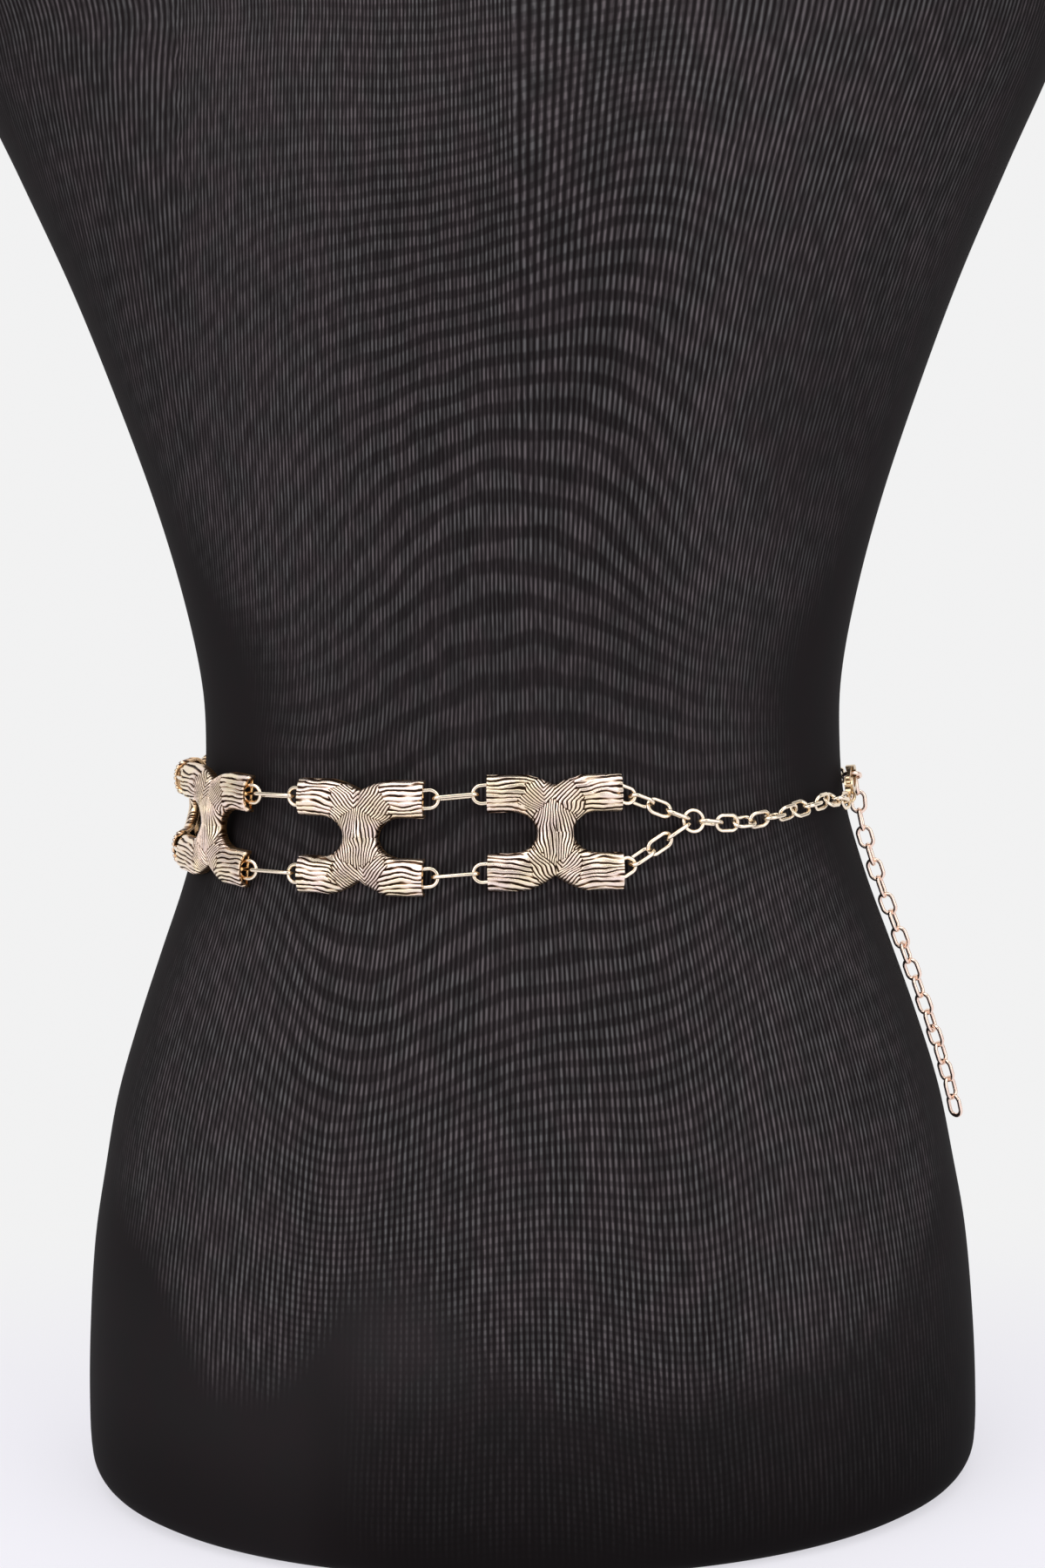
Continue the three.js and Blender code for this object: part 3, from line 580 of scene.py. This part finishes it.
def engraving(x, y, seed):
    """Height from 0 in a groove to 1 on a ridge, over the link's plane, and the grooves' depth."""
    ax, ay = np.abs(x), np.abs(y)
    quarter = (x > 0) * 1 + (y > 0) * 2
    wob = value_noise(x / 5.2 + 20 + 7 * quarter, y / 2.6 + 20, seed)
    slow = value_noise(x / 9 + 12 + 5 * quarter, y / 5 + 30, seed + 4)
    fine = value_noise(x / 1.3 + 40, y / 1.3 + 40, seed + 1)
    faint = value_noise(x / 4.5 + 50 + 3 * quarter, y / 1.1 + 50, seed + 3)
    # The arms: grooves along them that fall towards the column
    fall = np.clip(15.5 - ax, 0, None) ** 2 * np.where(y > 0, 0.016, 0.024)
    arm = ridges((y + fall) / 1.62 + 0.42 * wob + 0.35 * slow + 0.06 * fine, 0.26, 0.74)
    arm = 1 - (1 - arm) * np.clip(0.95 + 0.9 * faint, 0.1, 1)
    # Beside the column: diagonal grooves from a wandering seam
    seam = np.abs(x + np.where(y > 0, 2.2, -1.6) + 1.8 * value_noise(x / 30 + 5, y / 3.5 + 5, seed + 6))
    hatch = ridges((y - seam * 1.05) / 1.42 + 0.30 * slow + 0.16 * wob + 0.08 * fine, 0.3, 0.8)
    # The column: upright grooves that swell in the middle
    lens = x / (0.88 + 0.18 * np.cos(np.clip(y / 9.0, -1, 1) * np.pi))
    lens = lens + 0.5 * np.sin(y / 3.1 + 1.3 * slow) * np.clip(1 - ax / 8, 0, 1)
    lens = lens / 1.12 + 0.5 + 0.40 * value_noise(x / 2.6 + 9, y / 3.6 + 9, seed + 2)
    lines = ridges(lens + 0.08 * fine, 0.3, 0.8)
    # Where the three meet: a ragged edge, and along it the lower of the two patterns
    edge = 0.9 * wob + 0.5 * fine + 0.7 * slow
    reach = 9.4 + np.where(y > 0, 0.8, -0.8)
    to_column = ax * 1.1 + np.clip(ay - 5.4, 0, None) * 1.5 + edge * 1.1 - 7.9
    to_hatch = ax + np.clip(ay - 12.5, 0, None) * 0.8 + edge * 1.8 - reach
    height = np.where(to_hatch < 0, hatch, arm)
    height = np.where(to_column < 0, lines, height)
    for distance, first, second in ((to_hatch, arm, hatch), (to_column, lines, hatch)):
        height = np.where(np.abs(distance) < 0.5, np.minimum(first, second), height)
    depth = np.where((to_column < 0) | (to_hatch < 0), 0.42, 0.62)
    return height, depth


SAME = 1e-9


def motif_surface(seed):
    """Points, faces, groove depth and painted reflection mask of one cast link, in its own frame. t runs from
    the column's middle, 0, to the upper arm's end, 1, or the lower arm's, -1, and s across, from the notch
    to the outer edge. The same grid makes the outside and the inside."""
    high = np.unique(np.concatenate([np.linspace(0, VALLEY_T, 72), np.linspace(VALLEY_T, 1, 112)]))
    ts = np.concatenate([-high[:0:-1], high])
    even = np.linspace(0, 1, 74)
    crowded = 0.5 - 0.5 * np.cos(np.pi * even)
    s_out = np.concatenate([[0.0], 0.55 * crowded + 0.45 * even, [1.0]])
    s_in = np.concatenate([[0.0], np.linspace(0, 1, 9), [1.0]])
    points, grooves, warm_reflections, faces = [], [], [], []
    known = {}

    def grid(side, s_list, inner):
        t = ts[:, None]
        up = np.abs(t)
        start, finish = notch_edge(up), outer_edge(up, np.where(t > 0, VALLEY_TOP, VALLEY_BOTTOM))
        across = finish - start
        across = across / np.linalg.norm(across, axis=-1, keepdims=True)
        if inner:
            start = start + across * MOTIF_WALL
            arm = (up > VALLEY_T + SAME)[..., None]
            valley = (np.abs(up - VALLEY_T) < SAME)[..., None]
            finish = finish - np.where(arm, across * MOTIF_WALL, 0)
            finish = finish - np.where(valley, [0, MOTIF_WALL * 1.3], 0)
        s = s_list[None, :]
        flat = start + (finish - start) * s[..., None]
        level = dome(s, up) - (MOTIF_WALL if inner else 0)
        level[:, 0] = 0
        arm_rows = np.abs(ts) > VALLEY_T - SAME
        level[arm_rows, -1] = 0
        x = flat[..., 0] * -side
        y = flat[..., 1] * np.sign(t)
        height, depth = np.ones_like(x), np.zeros_like(x)
        if not inner:
            height, depth = engraving(x, y, seed)
            fade = soft_step(level, MOTIF_SIDE * 0.6, MOTIF_SIDE * 1.05)
            depth = depth * fade
            height = np.where(fade > 0, height, 1)
        level = level - depth * (1 - height)
        p = np.stack([x, y, level], -1)
        if not inner:
            wave = value_noise(x / 5 + 3, y / 5 + 3, seed + 5) * 0.22
            p[..., 2] += wave * np.clip(level / 3, 0, 1)
        groove = np.where(depth > 0.01, (1 - height), 0.0)
        # 1 on the sides and inside: where the warm reflection is painted
        warm_reflection = np.ones_like(x) if inner else 1 - soft_step(level, MOTIF_SIDE * 0.85, MOTIF_SIDE * 1.15)
        return bend(p), groove, warm_reflection

    def index(side, inner, i, k, count, p, g, w):
        in_column = abs(ts[i]) <= VALLEY_T + SAME
        in_valley = in_column and abs(ts[i]) > VALLEY_T - SAME
        shared = (k == count - 2 and in_column) or (k == count - 1 and in_valley)
        key = (inner, 0 if shared else side, i, k)
        if key not in known:
            q = p[i, k].copy()
            if shared:
                q[0] = 0.0
            known[key] = len(points)
            points.append(q)
            grooves.append(g[i, k])
            warm_reflections.append(w[i, k])
        return known[key]

    rim = {}
    for side in (-1, 1):
        for inner, s_list in ((False, s_out), (True, s_in)):
            p, g, w = grid(side, s_list, inner)
            count = len(s_list)
            ids = np.full((len(ts), count), -1)
            for i in range(len(ts)):
                for k in range(count):
                    if k == count - 1 and abs(ts[i]) < VALLEY_T - SAME:
                        continue
                    ids[i, k] = index(side, inner, i, k, count, p, g, w)
            rim[(side, inner)] = ids
            for i in range(len(ts) - 1):
                for k in range(count - 1):
                    quad = (ids[i, k], ids[i, k + 1], ids[i + 1, k + 1], ids[i + 1, k])
                    if min(quad) < 0:
                        continue
                    faces.append(quad if (side < 0) != inner else quad[::-1])
        a, b = rim[(side, False)], rim[(side, True)]
        for i in range(len(ts) - 1):
            for ka, kb in ((0, 0), (a.shape[1] - 1, b.shape[1] - 1)):
                quad = (a[i, ka], a[i + 1, ka], b[i + 1, kb], b[i, kb])
                if min(quad) < 0:
                    continue
                flip = (ka == 0) == (side < 0)
                faces.append(quad if flip else quad[::-1])
        for i in (0, len(ts) - 1):
            marks = [int(round(x)) for x in np.linspace(0, b.shape[1] - 1, a.shape[1])]
            for k in range(a.shape[1] - 1):
                loop = [a[i, k], a[i, k + 1], b[i, marks[k + 1]]]
                if marks[k + 1] != marks[k]:
                    loop.append(b[i, marks[k]])
                if (i == 0) == (side < 0):
                    loop.reverse()
                faces.append(tuple(loop))
    return np.array(points), faces, np.array(grooves), np.array(warm_reflections)


def rod(start, end, radius, sides=12):
    """A plain closed cylinder between two points."""
    start, end = np.asarray(start, float), np.asarray(end, float)
    along = unit(end - start)
    side = unit(np.cross(along, [0.31, 0.59, 0.74]))
    other = np.cross(along, side)
    turn = np.arange(sides) / sides * 2 * np.pi
    circle = (np.cos(turn)[:, None] * side + np.sin(turn)[:, None] * other) * radius
    points = np.concatenate([start + circle, end + circle])
    faces = [(j, (j + 1) % sides, (j + 1) % sides + sides, j + sides) for j in range(sides)]
    faces += [tuple(range(sides))[::-1], tuple(range(sides, 2 * sides))]
    return points, faces


# Cast links: distance round the waist, height, turn, lean outwards at the top, and lift off the form
MOTIFS = (
    ("motif_0", -185.6, 233.6, -1.0, 8.0, 3.8),
    ("motif_1", -119.7, 233.8, -2.2, 8.0, 3.7),
    ("motif_2", -54.8, 232.9, -0.3, 8.0, 3.55),
    ("motif_3", 10.4, 234.5, -0.5, 2.4, 2.0),
)


def motif_rods():
    """The cross bar in each arm's open back, and the post that it holds."""
    half_bar = np.array([0, (TOP - MOTIF_GAP / 2 - MOTIF_WALL) / 2, 0])
    rods = []
    for side in (-1, 1):
        for row in (-1, 1):
            foot = bend(np.array([side * POST_X, row * ARM_MIDDLE, BAR_LEVEL]))
            post_top = foot + [0, 0, MOTIF_DEPTH - MOTIF_WALL / 2 - BAR_LEVEL]
            rods.append(rod(foot, post_top, POST_RADIUS))
            rods.append(rod(foot - half_bar, foot + half_bar, BAR_RADIUS))
    return rods


def add_motif(name, matrix, seed):
    points, faces, grooves, warm_reflections = motif_surface(seed)
    for rod_points, rod_faces in motif_rods():
        faces += [tuple(i + len(points) for i in face) for face in rod_faces]
        points = np.concatenate([points, rod_points])
        grooves = np.concatenate([grooves, np.zeros(len(rod_points))])
        # The rods get the painted warm reflection all over
        warm_reflections = np.concatenate([warm_reflections, np.ones(len(rod_points))])
    motif = make_object(f"cast_{name}", move(points, matrix), faces, ENGRAVED)
    for key, values in (("groove", grooves), ("warm_reflection", warm_reflections)):
        motif.data.attributes.new(key, "FLOAT", "POINT").data.foreach_set("value", values)
    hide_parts(name)


motif_places = []
for number, (name, arc, height, tilt, lean, lift) in enumerate(MOTIFS):
    place, around, up, out = surface_frame(arc, height, lift)
    c, s = math.cos(math.radians(lean)), math.sin(math.radians(lean))
    matrix = placed(place, around, up * c + out * s, out * c - up * s, tilt)
    motif_places.append(matrix)
    add_motif(name, matrix, 11 + number * 7)


def motif_post(matrix, side, row):
    return move(bend(np.array([side * POST_X, row * ARM_MIDDLE, POST_LEVEL])), matrix)


# Wire links
WIRE, PLAY = 1.35, 0.3
LINK_REACH, LINK_SPAN, RING_SPAN, MIDDLE_SPAN = 7.5, 5.2, 6.0, 4.0
JOINING_RADIUS, JOINING_WIRE, CHAIN_LIFT, BEARING = 3.6, 1.3, 4.1, 0.85
HOOK_BACK = POST_RADIUS + WIRE / 2 + PLAY
STEP_BACK = WIRE + PLAY


def wire_link(reach, span, wire, around=40, sides=12):
    turn = (np.arange(around) + 0.5) / around * 2 * np.pi
    middle = np.stack([np.cos(turn) * span / 2 + np.sign(np.cos(turn)) * (reach - span) / 2,
                       np.sin(turn) * span / 2, np.zeros(around)], -1)
    out = np.stack([np.cos(turn), np.sin(turn), np.zeros(around)], -1)
    tube = np.arange(sides) / sides * 2 * np.pi
    points = (middle[:, None] + out[:, None] * (np.cos(tube) * wire / 2)[None, :, None]
              + np.array([0, 0, 1.0]) * (np.sin(tube) * wire / 2)[None, :, None]).reshape(-1, 3)
    faces = []
    for i in range(around):
        for j in range(sides):
            a, b = i * sides + j, i * sides + (j + 1) % sides
            c, d = ((i + 1) % around) * sides + (j + 1) % sides, ((i + 1) % around) * sides + j
            faces.append((a, d, c, b))
    return points, faces


def outward_at(p):
    g = [form_gap(p + d) - form_gap(p - d) for d in np.eye(3) * 0.5]
    return unit(np.array(g))


def link_matrix(start, end, roll):
    middle = (start + end) / 2
    along = unit(end - start)
    out = outward_at(middle)
    out = unit(out - along * np.dot(out, along))
    side = np.cross(out, along)
    c, s = math.cos(math.radians(roll)), math.sin(math.radians(roll))
    return placed(middle, along, side * c + out * s, out * c - side * s)


def add_links(name, spans, material, span=LINK_SPAN, wire=WIRE):
    """One object of several links. spans is a list of (start, end, roll)."""
    points, faces = [], []
    for start, end, roll in spans:
        p, f = wire_link(np.linalg.norm(end - start), span, wire)
        offset = sum(len(q) for q in points)
        points.append(move(p, link_matrix(start, end, roll)))
        faces += [tuple(i + offset for i in face) for face in f]
    obj = make_object(f"wire_{name}", np.concatenate(points), faces, material)
    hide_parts(name)


def along(start, end, distance):
    return start + unit(end - start) * distance


for gap in range(3):
    for row, row_name in ((1, "upper"), (-1, "lower")):
        left = motif_post(motif_places[gap], 1, row)
        right = motif_post(motif_places[gap + 1], -1, row)
        reach = LINK_REACH - HOOK_BACK
        name = f"link_{gap}_{row_name}"
        first = (along(left, right, -HOOK_BACK), along(left, right, reach), MOTIFS[gap][4])
        middle = (along(left, right, reach - STEP_BACK), along(right, left, reach - STEP_BACK), 88 - row * 6)
        last = (along(right, left, reach), along(right, left, -HOOK_BACK), MOTIFS[gap + 1][4])
        add_links(f"{name}_a", [first], GOLD, RING_SPAN)
        add_links(f"{name}_b", [middle], GOLD, MIDDLE_SPAN)
        add_links(f"{name}_c", [last], GOLD, RING_SPAN)


def chain_spans(start, end, groups, in_group=BEARING):
    """(start, end, group) of each link of a chain, by distance along it; groups holds their counts."""
    backs, labels = [], []
    for group, count in enumerate(groups):
        labels += [group] * count
        backs += [STEP_BACK if group else 0.0] + [in_group] * (count - 1)
    reach = (end - start + sum(backs)) / len(backs)
    spans = []
    for back, group in zip(backs, labels):
        start -= back
        spans.append((start, start + reach, group))
        start += reach
    return spans


class Path:
    """A smooth line through points, measured by its length."""

    def __init__(self, points):
        pts = [np.asarray(p, float) for p in points]
        pts = [2 * pts[0] - pts[1], *pts, 2 * pts[-1] - pts[-2]]
        samples = []
        for i in range(1, len(pts) - 2):
            p0, p1, p2, p3 = pts[i - 1:i + 3]
            d0, d1, d2 = [np.linalg.norm(b - a) ** 0.5 for a, b in ((p0, p1), (p1, p2), (p2, p3))]
            m1 = ((p1 - p0) / d0 - (p2 - p0) / (d0 + d1) + (p2 - p1) / d1) * d1
            m2 = ((p2 - p1) / d1 - (p3 - p1) / (d1 + d2) + (p3 - p2) / d2) * d1
            for t in np.linspace(0, 1, 60, endpoint=False):
                t2, t3 = t * t, t ** 3
                samples.append((2 * t3 - 3 * t2 + 1) * p1 + (t3 - 2 * t2 + t) * m1
                               + (3 * t2 - 2 * t3) * p2 + (t3 - t2) * m2)
        samples.append(pts[-2])
        self.points = np.array(samples)
        self.at = np.concatenate([[0], np.cumsum(np.linalg.norm(np.diff(self.points, axis=0), axis=1))])
        self.length = self.at[-1]

    def __call__(self, distance):
        return np.array([np.interp(distance, self.at, self.points[:, k]) for k in range(3)])


def joined_chain(name, path, spans, material, first_roll=0, twist=0, wire=WIRE):
    """One object for each group of links, every other link turned by a quarter."""
    groups = {}
    for i, (start, end, group) in enumerate(spans):
        roll = first_roll + (90 if i % 2 else 0) + twist * i
        groups.setdefault(group, []).append((path(start), path(end), roll))
    for group, links in groups.items():
        node = f"{name}_{group}" if len(groups) > 1 else name
        add_links(node, links, material, LINK_SPAN - 0.4, wire)


def add_leg(name, post, centre, rolls):
    """The links of one leg of the V: one on the post, and three more to the joining ring."""
    first = LINK_REACH - HOOK_BACK
    last = np.linalg.norm(post - centre) - JOINING_RADIUS + STEP_BACK
    spans = [(-HOOK_BACK, first, 0), *chain_spans(first - STEP_BACK, last, [3], STEP_BACK)]
    for i, (start, end, _) in enumerate(spans):
        link = (along(post, centre, start), along(post, centre, end), rolls[i])
        add_links(f"{name}_{i}", [link], GOLD)


def add_joining_ring(name, centre):
    out = outward_at(centre)
    side = unit(np.cross([0, 0, 1], out))
    points, faces = wire_link(JOINING_RADIUS * 2, JOINING_RADIUS * 2, JOINING_WIRE)
    matrix = placed(centre, side, np.cross(out, side), out)
    ring_object = make_object(f"wire_{name}", move(points, matrix), faces, GOLD)
    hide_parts(name)


FRONT_CHAIN = ((57.9, 236.4), (70.1, 234.8), (83.0, 235.2), (98.0, 236.8), (112.0, 238.5), (125.4, 238.7))
joining_centre = surface_frame(*FRONT_CHAIN[0], CHAIN_LIFT)[0]
add_joining_ring("joining_ring", joining_centre)
add_leg("v_upper", motif_post(motif_places[3], 1, 1), joining_centre, (0, 62, -22, 96))
add_leg("v_lower", motif_post(motif_places[3], 1, -1), joining_centre, (4, -60, 26, 84))

# Clasp: the solids of its body and lever keep their shape and get the clasp's gold, darkened to paint a dark
# reflection
CLASP_ARC, CLASP_HEIGHT, CLASP_TURN = 145.2, 243.6, 36
CLASP_RING_REACH, CLASP_RING_DROP, CLASP_RING_SPAN, CLASP_RING_WIRE = 5.0, -0.6, 4.4, 1.1
clasp_matrix = placed(*surface_frame(CLASP_ARC, CLASP_HEIGHT, CHAIN_LIFT), turn=CLASP_TURN)
for node in ("clasp_body", "clasp_lever"):
    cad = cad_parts[node]
    cad.data.materials.clear()
    cad.data.materials.append(CLASP_GOLD_PAINTED_DARK)
EYE_X = -6.2
eye_point = move(np.array([EYE_X - 0.1, 0, 0]), clasp_matrix)
ring_end = move(np.array([EYE_X - CLASP_RING_REACH, CLASP_RING_DROP, 0]), clasp_matrix)
clasp_ring = [(ring_end, eye_point, 90)]
add_links("clasp_ring", clasp_ring, CLASP_GOLD_PAINTED_DARK, CLASP_RING_SPAN, CLASP_RING_WIRE)

# Single chain from the joining ring to the clasp
front_points = [surface_frame(arc, height, CHAIN_LIFT)[0] for arc, height in FRONT_CHAIN]
front_path = Path([*front_points, ring_end, eye_point])
front_end = front_path.length - np.linalg.norm(ring_end - eye_point) + STEP_BACK
FRONT_ROLLS = (84, 10, -52, 26, 98, 36, -28, 88, 24, -40, 80, 0)
for i, (start, end, _) in enumerate(chain_spans(JOINING_RADIUS - STEP_BACK, front_end, [12], STEP_BACK)):
    add_links(f"front_chain_{i}", [(front_path(start), front_path(end), FRONT_ROLLS[i])], GOLD)

# Adjusting chain: the held link, the surplus down the hip and the run round the back
HOOK_X, HOOK_Y = 4.2, -0.2
HELD_ARC, HELD_HEIGHT, HELD_SPAN = 155.6, 243.4, 5.8
PAST_HELD_LINK = 0.95
held_start = move(np.array([HOOK_X, HOOK_Y, 0]), clasp_matrix)
held_end = surface_frame(HELD_ARC, HELD_HEIGHT, CHAIN_LIFT)[0]
add_links("held_link", [(held_start, held_end, 90)], ROSE, HELD_SPAN)


def tail_point(z, lift):
    """A point of the hip below the held link's end, at the same depth."""
    y = held_end[1]
    power = column(POWER, z)
    depth = column(FRONT if y < 0 else BACK, z)
    x = column(HALF_W, z) * (1 - (abs(y) / depth) ** power) ** (1 / power)
    return np.array([x + lift, y, z])


TAIL_FOOT, TAIL_STEPS = 121, 16
tail_top = held_end[2] + STEP_BACK
tail_points = []
for i in range(TAIL_STEPS + 1):
    clear_of_held_link = PAST_HELD_LINK if i < 2 else 0
    height = tail_top - (tail_top - TAIL_FOOT) * i / TAIL_STEPS
    tail_points.append(tail_point(height, CHAIN_LIFT + clear_of_held_link))
tail_path = Path(tail_points)
tail_spans = chain_spans(0, tail_path.length, [5, 5, 5, 5])
joined_chain("tail", tail_path, tail_spans, ROSE, twist=2.2, wire=1.5)

# The chain round the back starts under the held link's end and comes level with the fourth cast link
BACK_ARC, BACK_HEIGHT = -231.5, 234.4
BACK_START_ARC, BACK_START_HEIGHT = HELD_ARC + 6, HELD_HEIGHT - 0.4
BACK_START_LIFT = CHAIN_LIFT - PAST_HELD_LINK
BACK_STEPS = 24
back_centre = surface_frame(BACK_ARC, BACK_HEIGHT, CHAIN_LIFT)[0]
back_points = [surface_frame(HELD_ARC - STEP_BACK, HELD_HEIGHT, BACK_START_LIFT)[0]]
back_points.append(surface_frame(BACK_START_ARC, BACK_START_HEIGHT, BACK_START_LIFT)[0])
for i in range(1, BACK_STEPS):
    part = i / BACK_STEPS
    arc = BACK_START_ARC + (BACK_ARC + GIRTH - BACK_START_ARC) * part
    height = BACK_START_HEIGHT + (BACK_HEIGHT - BACK_START_HEIGHT) * min(part * 2, 1)
    back_points.append(surface_frame(arc, height, CHAIN_LIFT)[0])
back_path = Path([*back_points, back_centre])
back_spans = chain_spans(0, back_path.length - JOINING_RADIUS + STEP_BACK, [11, 10, 10, 11])
joined_chain("back_chain", back_path, back_spans, GOLD)
add_joining_ring("back_ring", back_centre)
for row, row_name in ((1, "upper"), (-1, "lower")):
    post = motif_post(motif_places[0], -1, row)
    leg = Path([along(post, back_centre, -HOOK_BACK), back_centre])
    spans = chain_spans(0, leg.length - JOINING_RADIUS + STEP_BACK, [4])
    joined_chain(f"back_v_{row_name}", leg, spans, GOLD, first_roll=-MOTIFS[0][4])

# Studio: white all round, pale table that softens into it behind the form, broad soft light
WHITE = (0.885, 0.885, 0.887)


def table_material():
    """Matt and lit in front; behind the form it turns into an evenly lit white."""
    material, tree, shader = new_material("table", Roughness=0.8)
    shader.inputs["Specular IOR Level"].default_value = 0.0
    shader.inputs["Emission Strength"].default_value = 1.0
    split = add_node(tree, "ShaderNodeSeparateXYZ")
    tree.links.new(object_place(tree), split.inputs[0])
    fade = stretched(tree, split.outputs["Y"], -0.02, 0.30, shape="SMOOTHSTEP")
    matt = mixed(tree, fade, (0.30, 0.297, 0.318), (0.0, 0.0, 0.0))
    glow = mixed(tree, fade, (0.600, 0.591, 0.627), WHITE)
    tree.links.new(matt, shader.inputs["Base Color"])
    tree.links.new(glow, shader.inputs["Emission Color"])
    return material


FLOOR_SIDE, FLOOR_FRONT, FLOOR_BACK, FLOOR_LEVEL = 3000, -2500, 900, -0.3
floor_corners = [(-FLOOR_SIDE, FLOOR_FRONT, FLOOR_LEVEL), (FLOOR_SIDE, FLOOR_FRONT, FLOOR_LEVEL),
                 (FLOOR_SIDE, FLOOR_BACK, FLOOR_LEVEL), (-FLOOR_SIDE, FLOOR_BACK, FLOOR_LEVEL)]
floor = make_object("floor", floor_corners, [(0, 1, 2, 3)], table_material(), body=None, smooth=False)

world = bpy.data.worlds.new("studio")
bpy.context.scene.world = world
world.use_nodes = True
studio = world.node_tree
# The background is white, and so is the light from behind the form; the rest of the room is dimmer
direction = add_node(studio, "ShaderNodeSeparateXYZ")
studio.links.new(add_node(studio, "ShaderNodeTexCoord").outputs["Generated"], direction.inputs[0])
behind = stretched(studio, direction.outputs["Y"], 0.2, 0.35, shape="SMOOTHSTEP")
seen = add_node(studio, "ShaderNodeLightPath").outputs["Is Camera Ray"]
room = mixed(studio, math_node(studio, "MAXIMUM", behind, seen), (0.3, 0.3, 0.3), WHITE)
studio.links.new(room, studio.nodes["Background"].inputs["Color"])
studio.nodes["Background"].inputs["Strength"].default_value = 1.0


def area_light(name, place, target, size, power):
    light = bpy.data.lights.new(name, "AREA")
    light.shape = "RECTANGLE"
    light.size, light.size_y = size
    light.energy = power
    lamp = bpy.data.objects.new(name, light)
    bpy.context.scene.collection.objects.link(lamp)
    lamp.location = place
    lamp.rotation_euler = (Vector(target) - Vector(place)).to_track_quat("-Z", "Y").to_euler()


area_light("key", (-1.3, -1.5, 1.1), (0, 0, 0.25), (2.0, 1.8), 23)
area_light("fill", (1.4, -1.4, 0.9), (0, 0, 0.25), (1.8, 1.8), 16)
area_light("top", (0.0, -0.5, 2.0), (0, 0, 0.2), (2.4, 1.4), 20)

# Camera: level, at the photograph's height; the picture's frame lies below its axis and is rolled by a degree
PHOTO_HEIGHT_PX, FOCAL_PX, SHIFT_PX = 1800, 2746, -268
CAMERA_PLACE = (0.00097, -0.880, 0.328)
CAMERA_ROLL = -0.875
SENSOR = 36
camera_data = bpy.data.cameras.new("camera")
camera = bpy.data.objects.new("camera", camera_data)
bpy.context.scene.collection.objects.link(camera)
bpy.context.scene.camera = camera
camera_data.sensor_fit = "VERTICAL"
camera_data.sensor_height = SENSOR
camera_data.lens = FOCAL_PX / PHOTO_HEIGHT_PX * SENSOR
camera_data.shift_y = SHIFT_PX / PHOTO_HEIGHT_PX
camera_data.clip_start = 0.05
level = Matrix.Rotation(math.radians(90), 4, "X")
roll = Matrix.Rotation(math.radians(CAMERA_ROLL), 4, "Z")
camera.matrix_world = Matrix.Translation(CAMERA_PLACE) @ level @ roll

bpy.context.scene.view_settings.view_transform = "Standard"
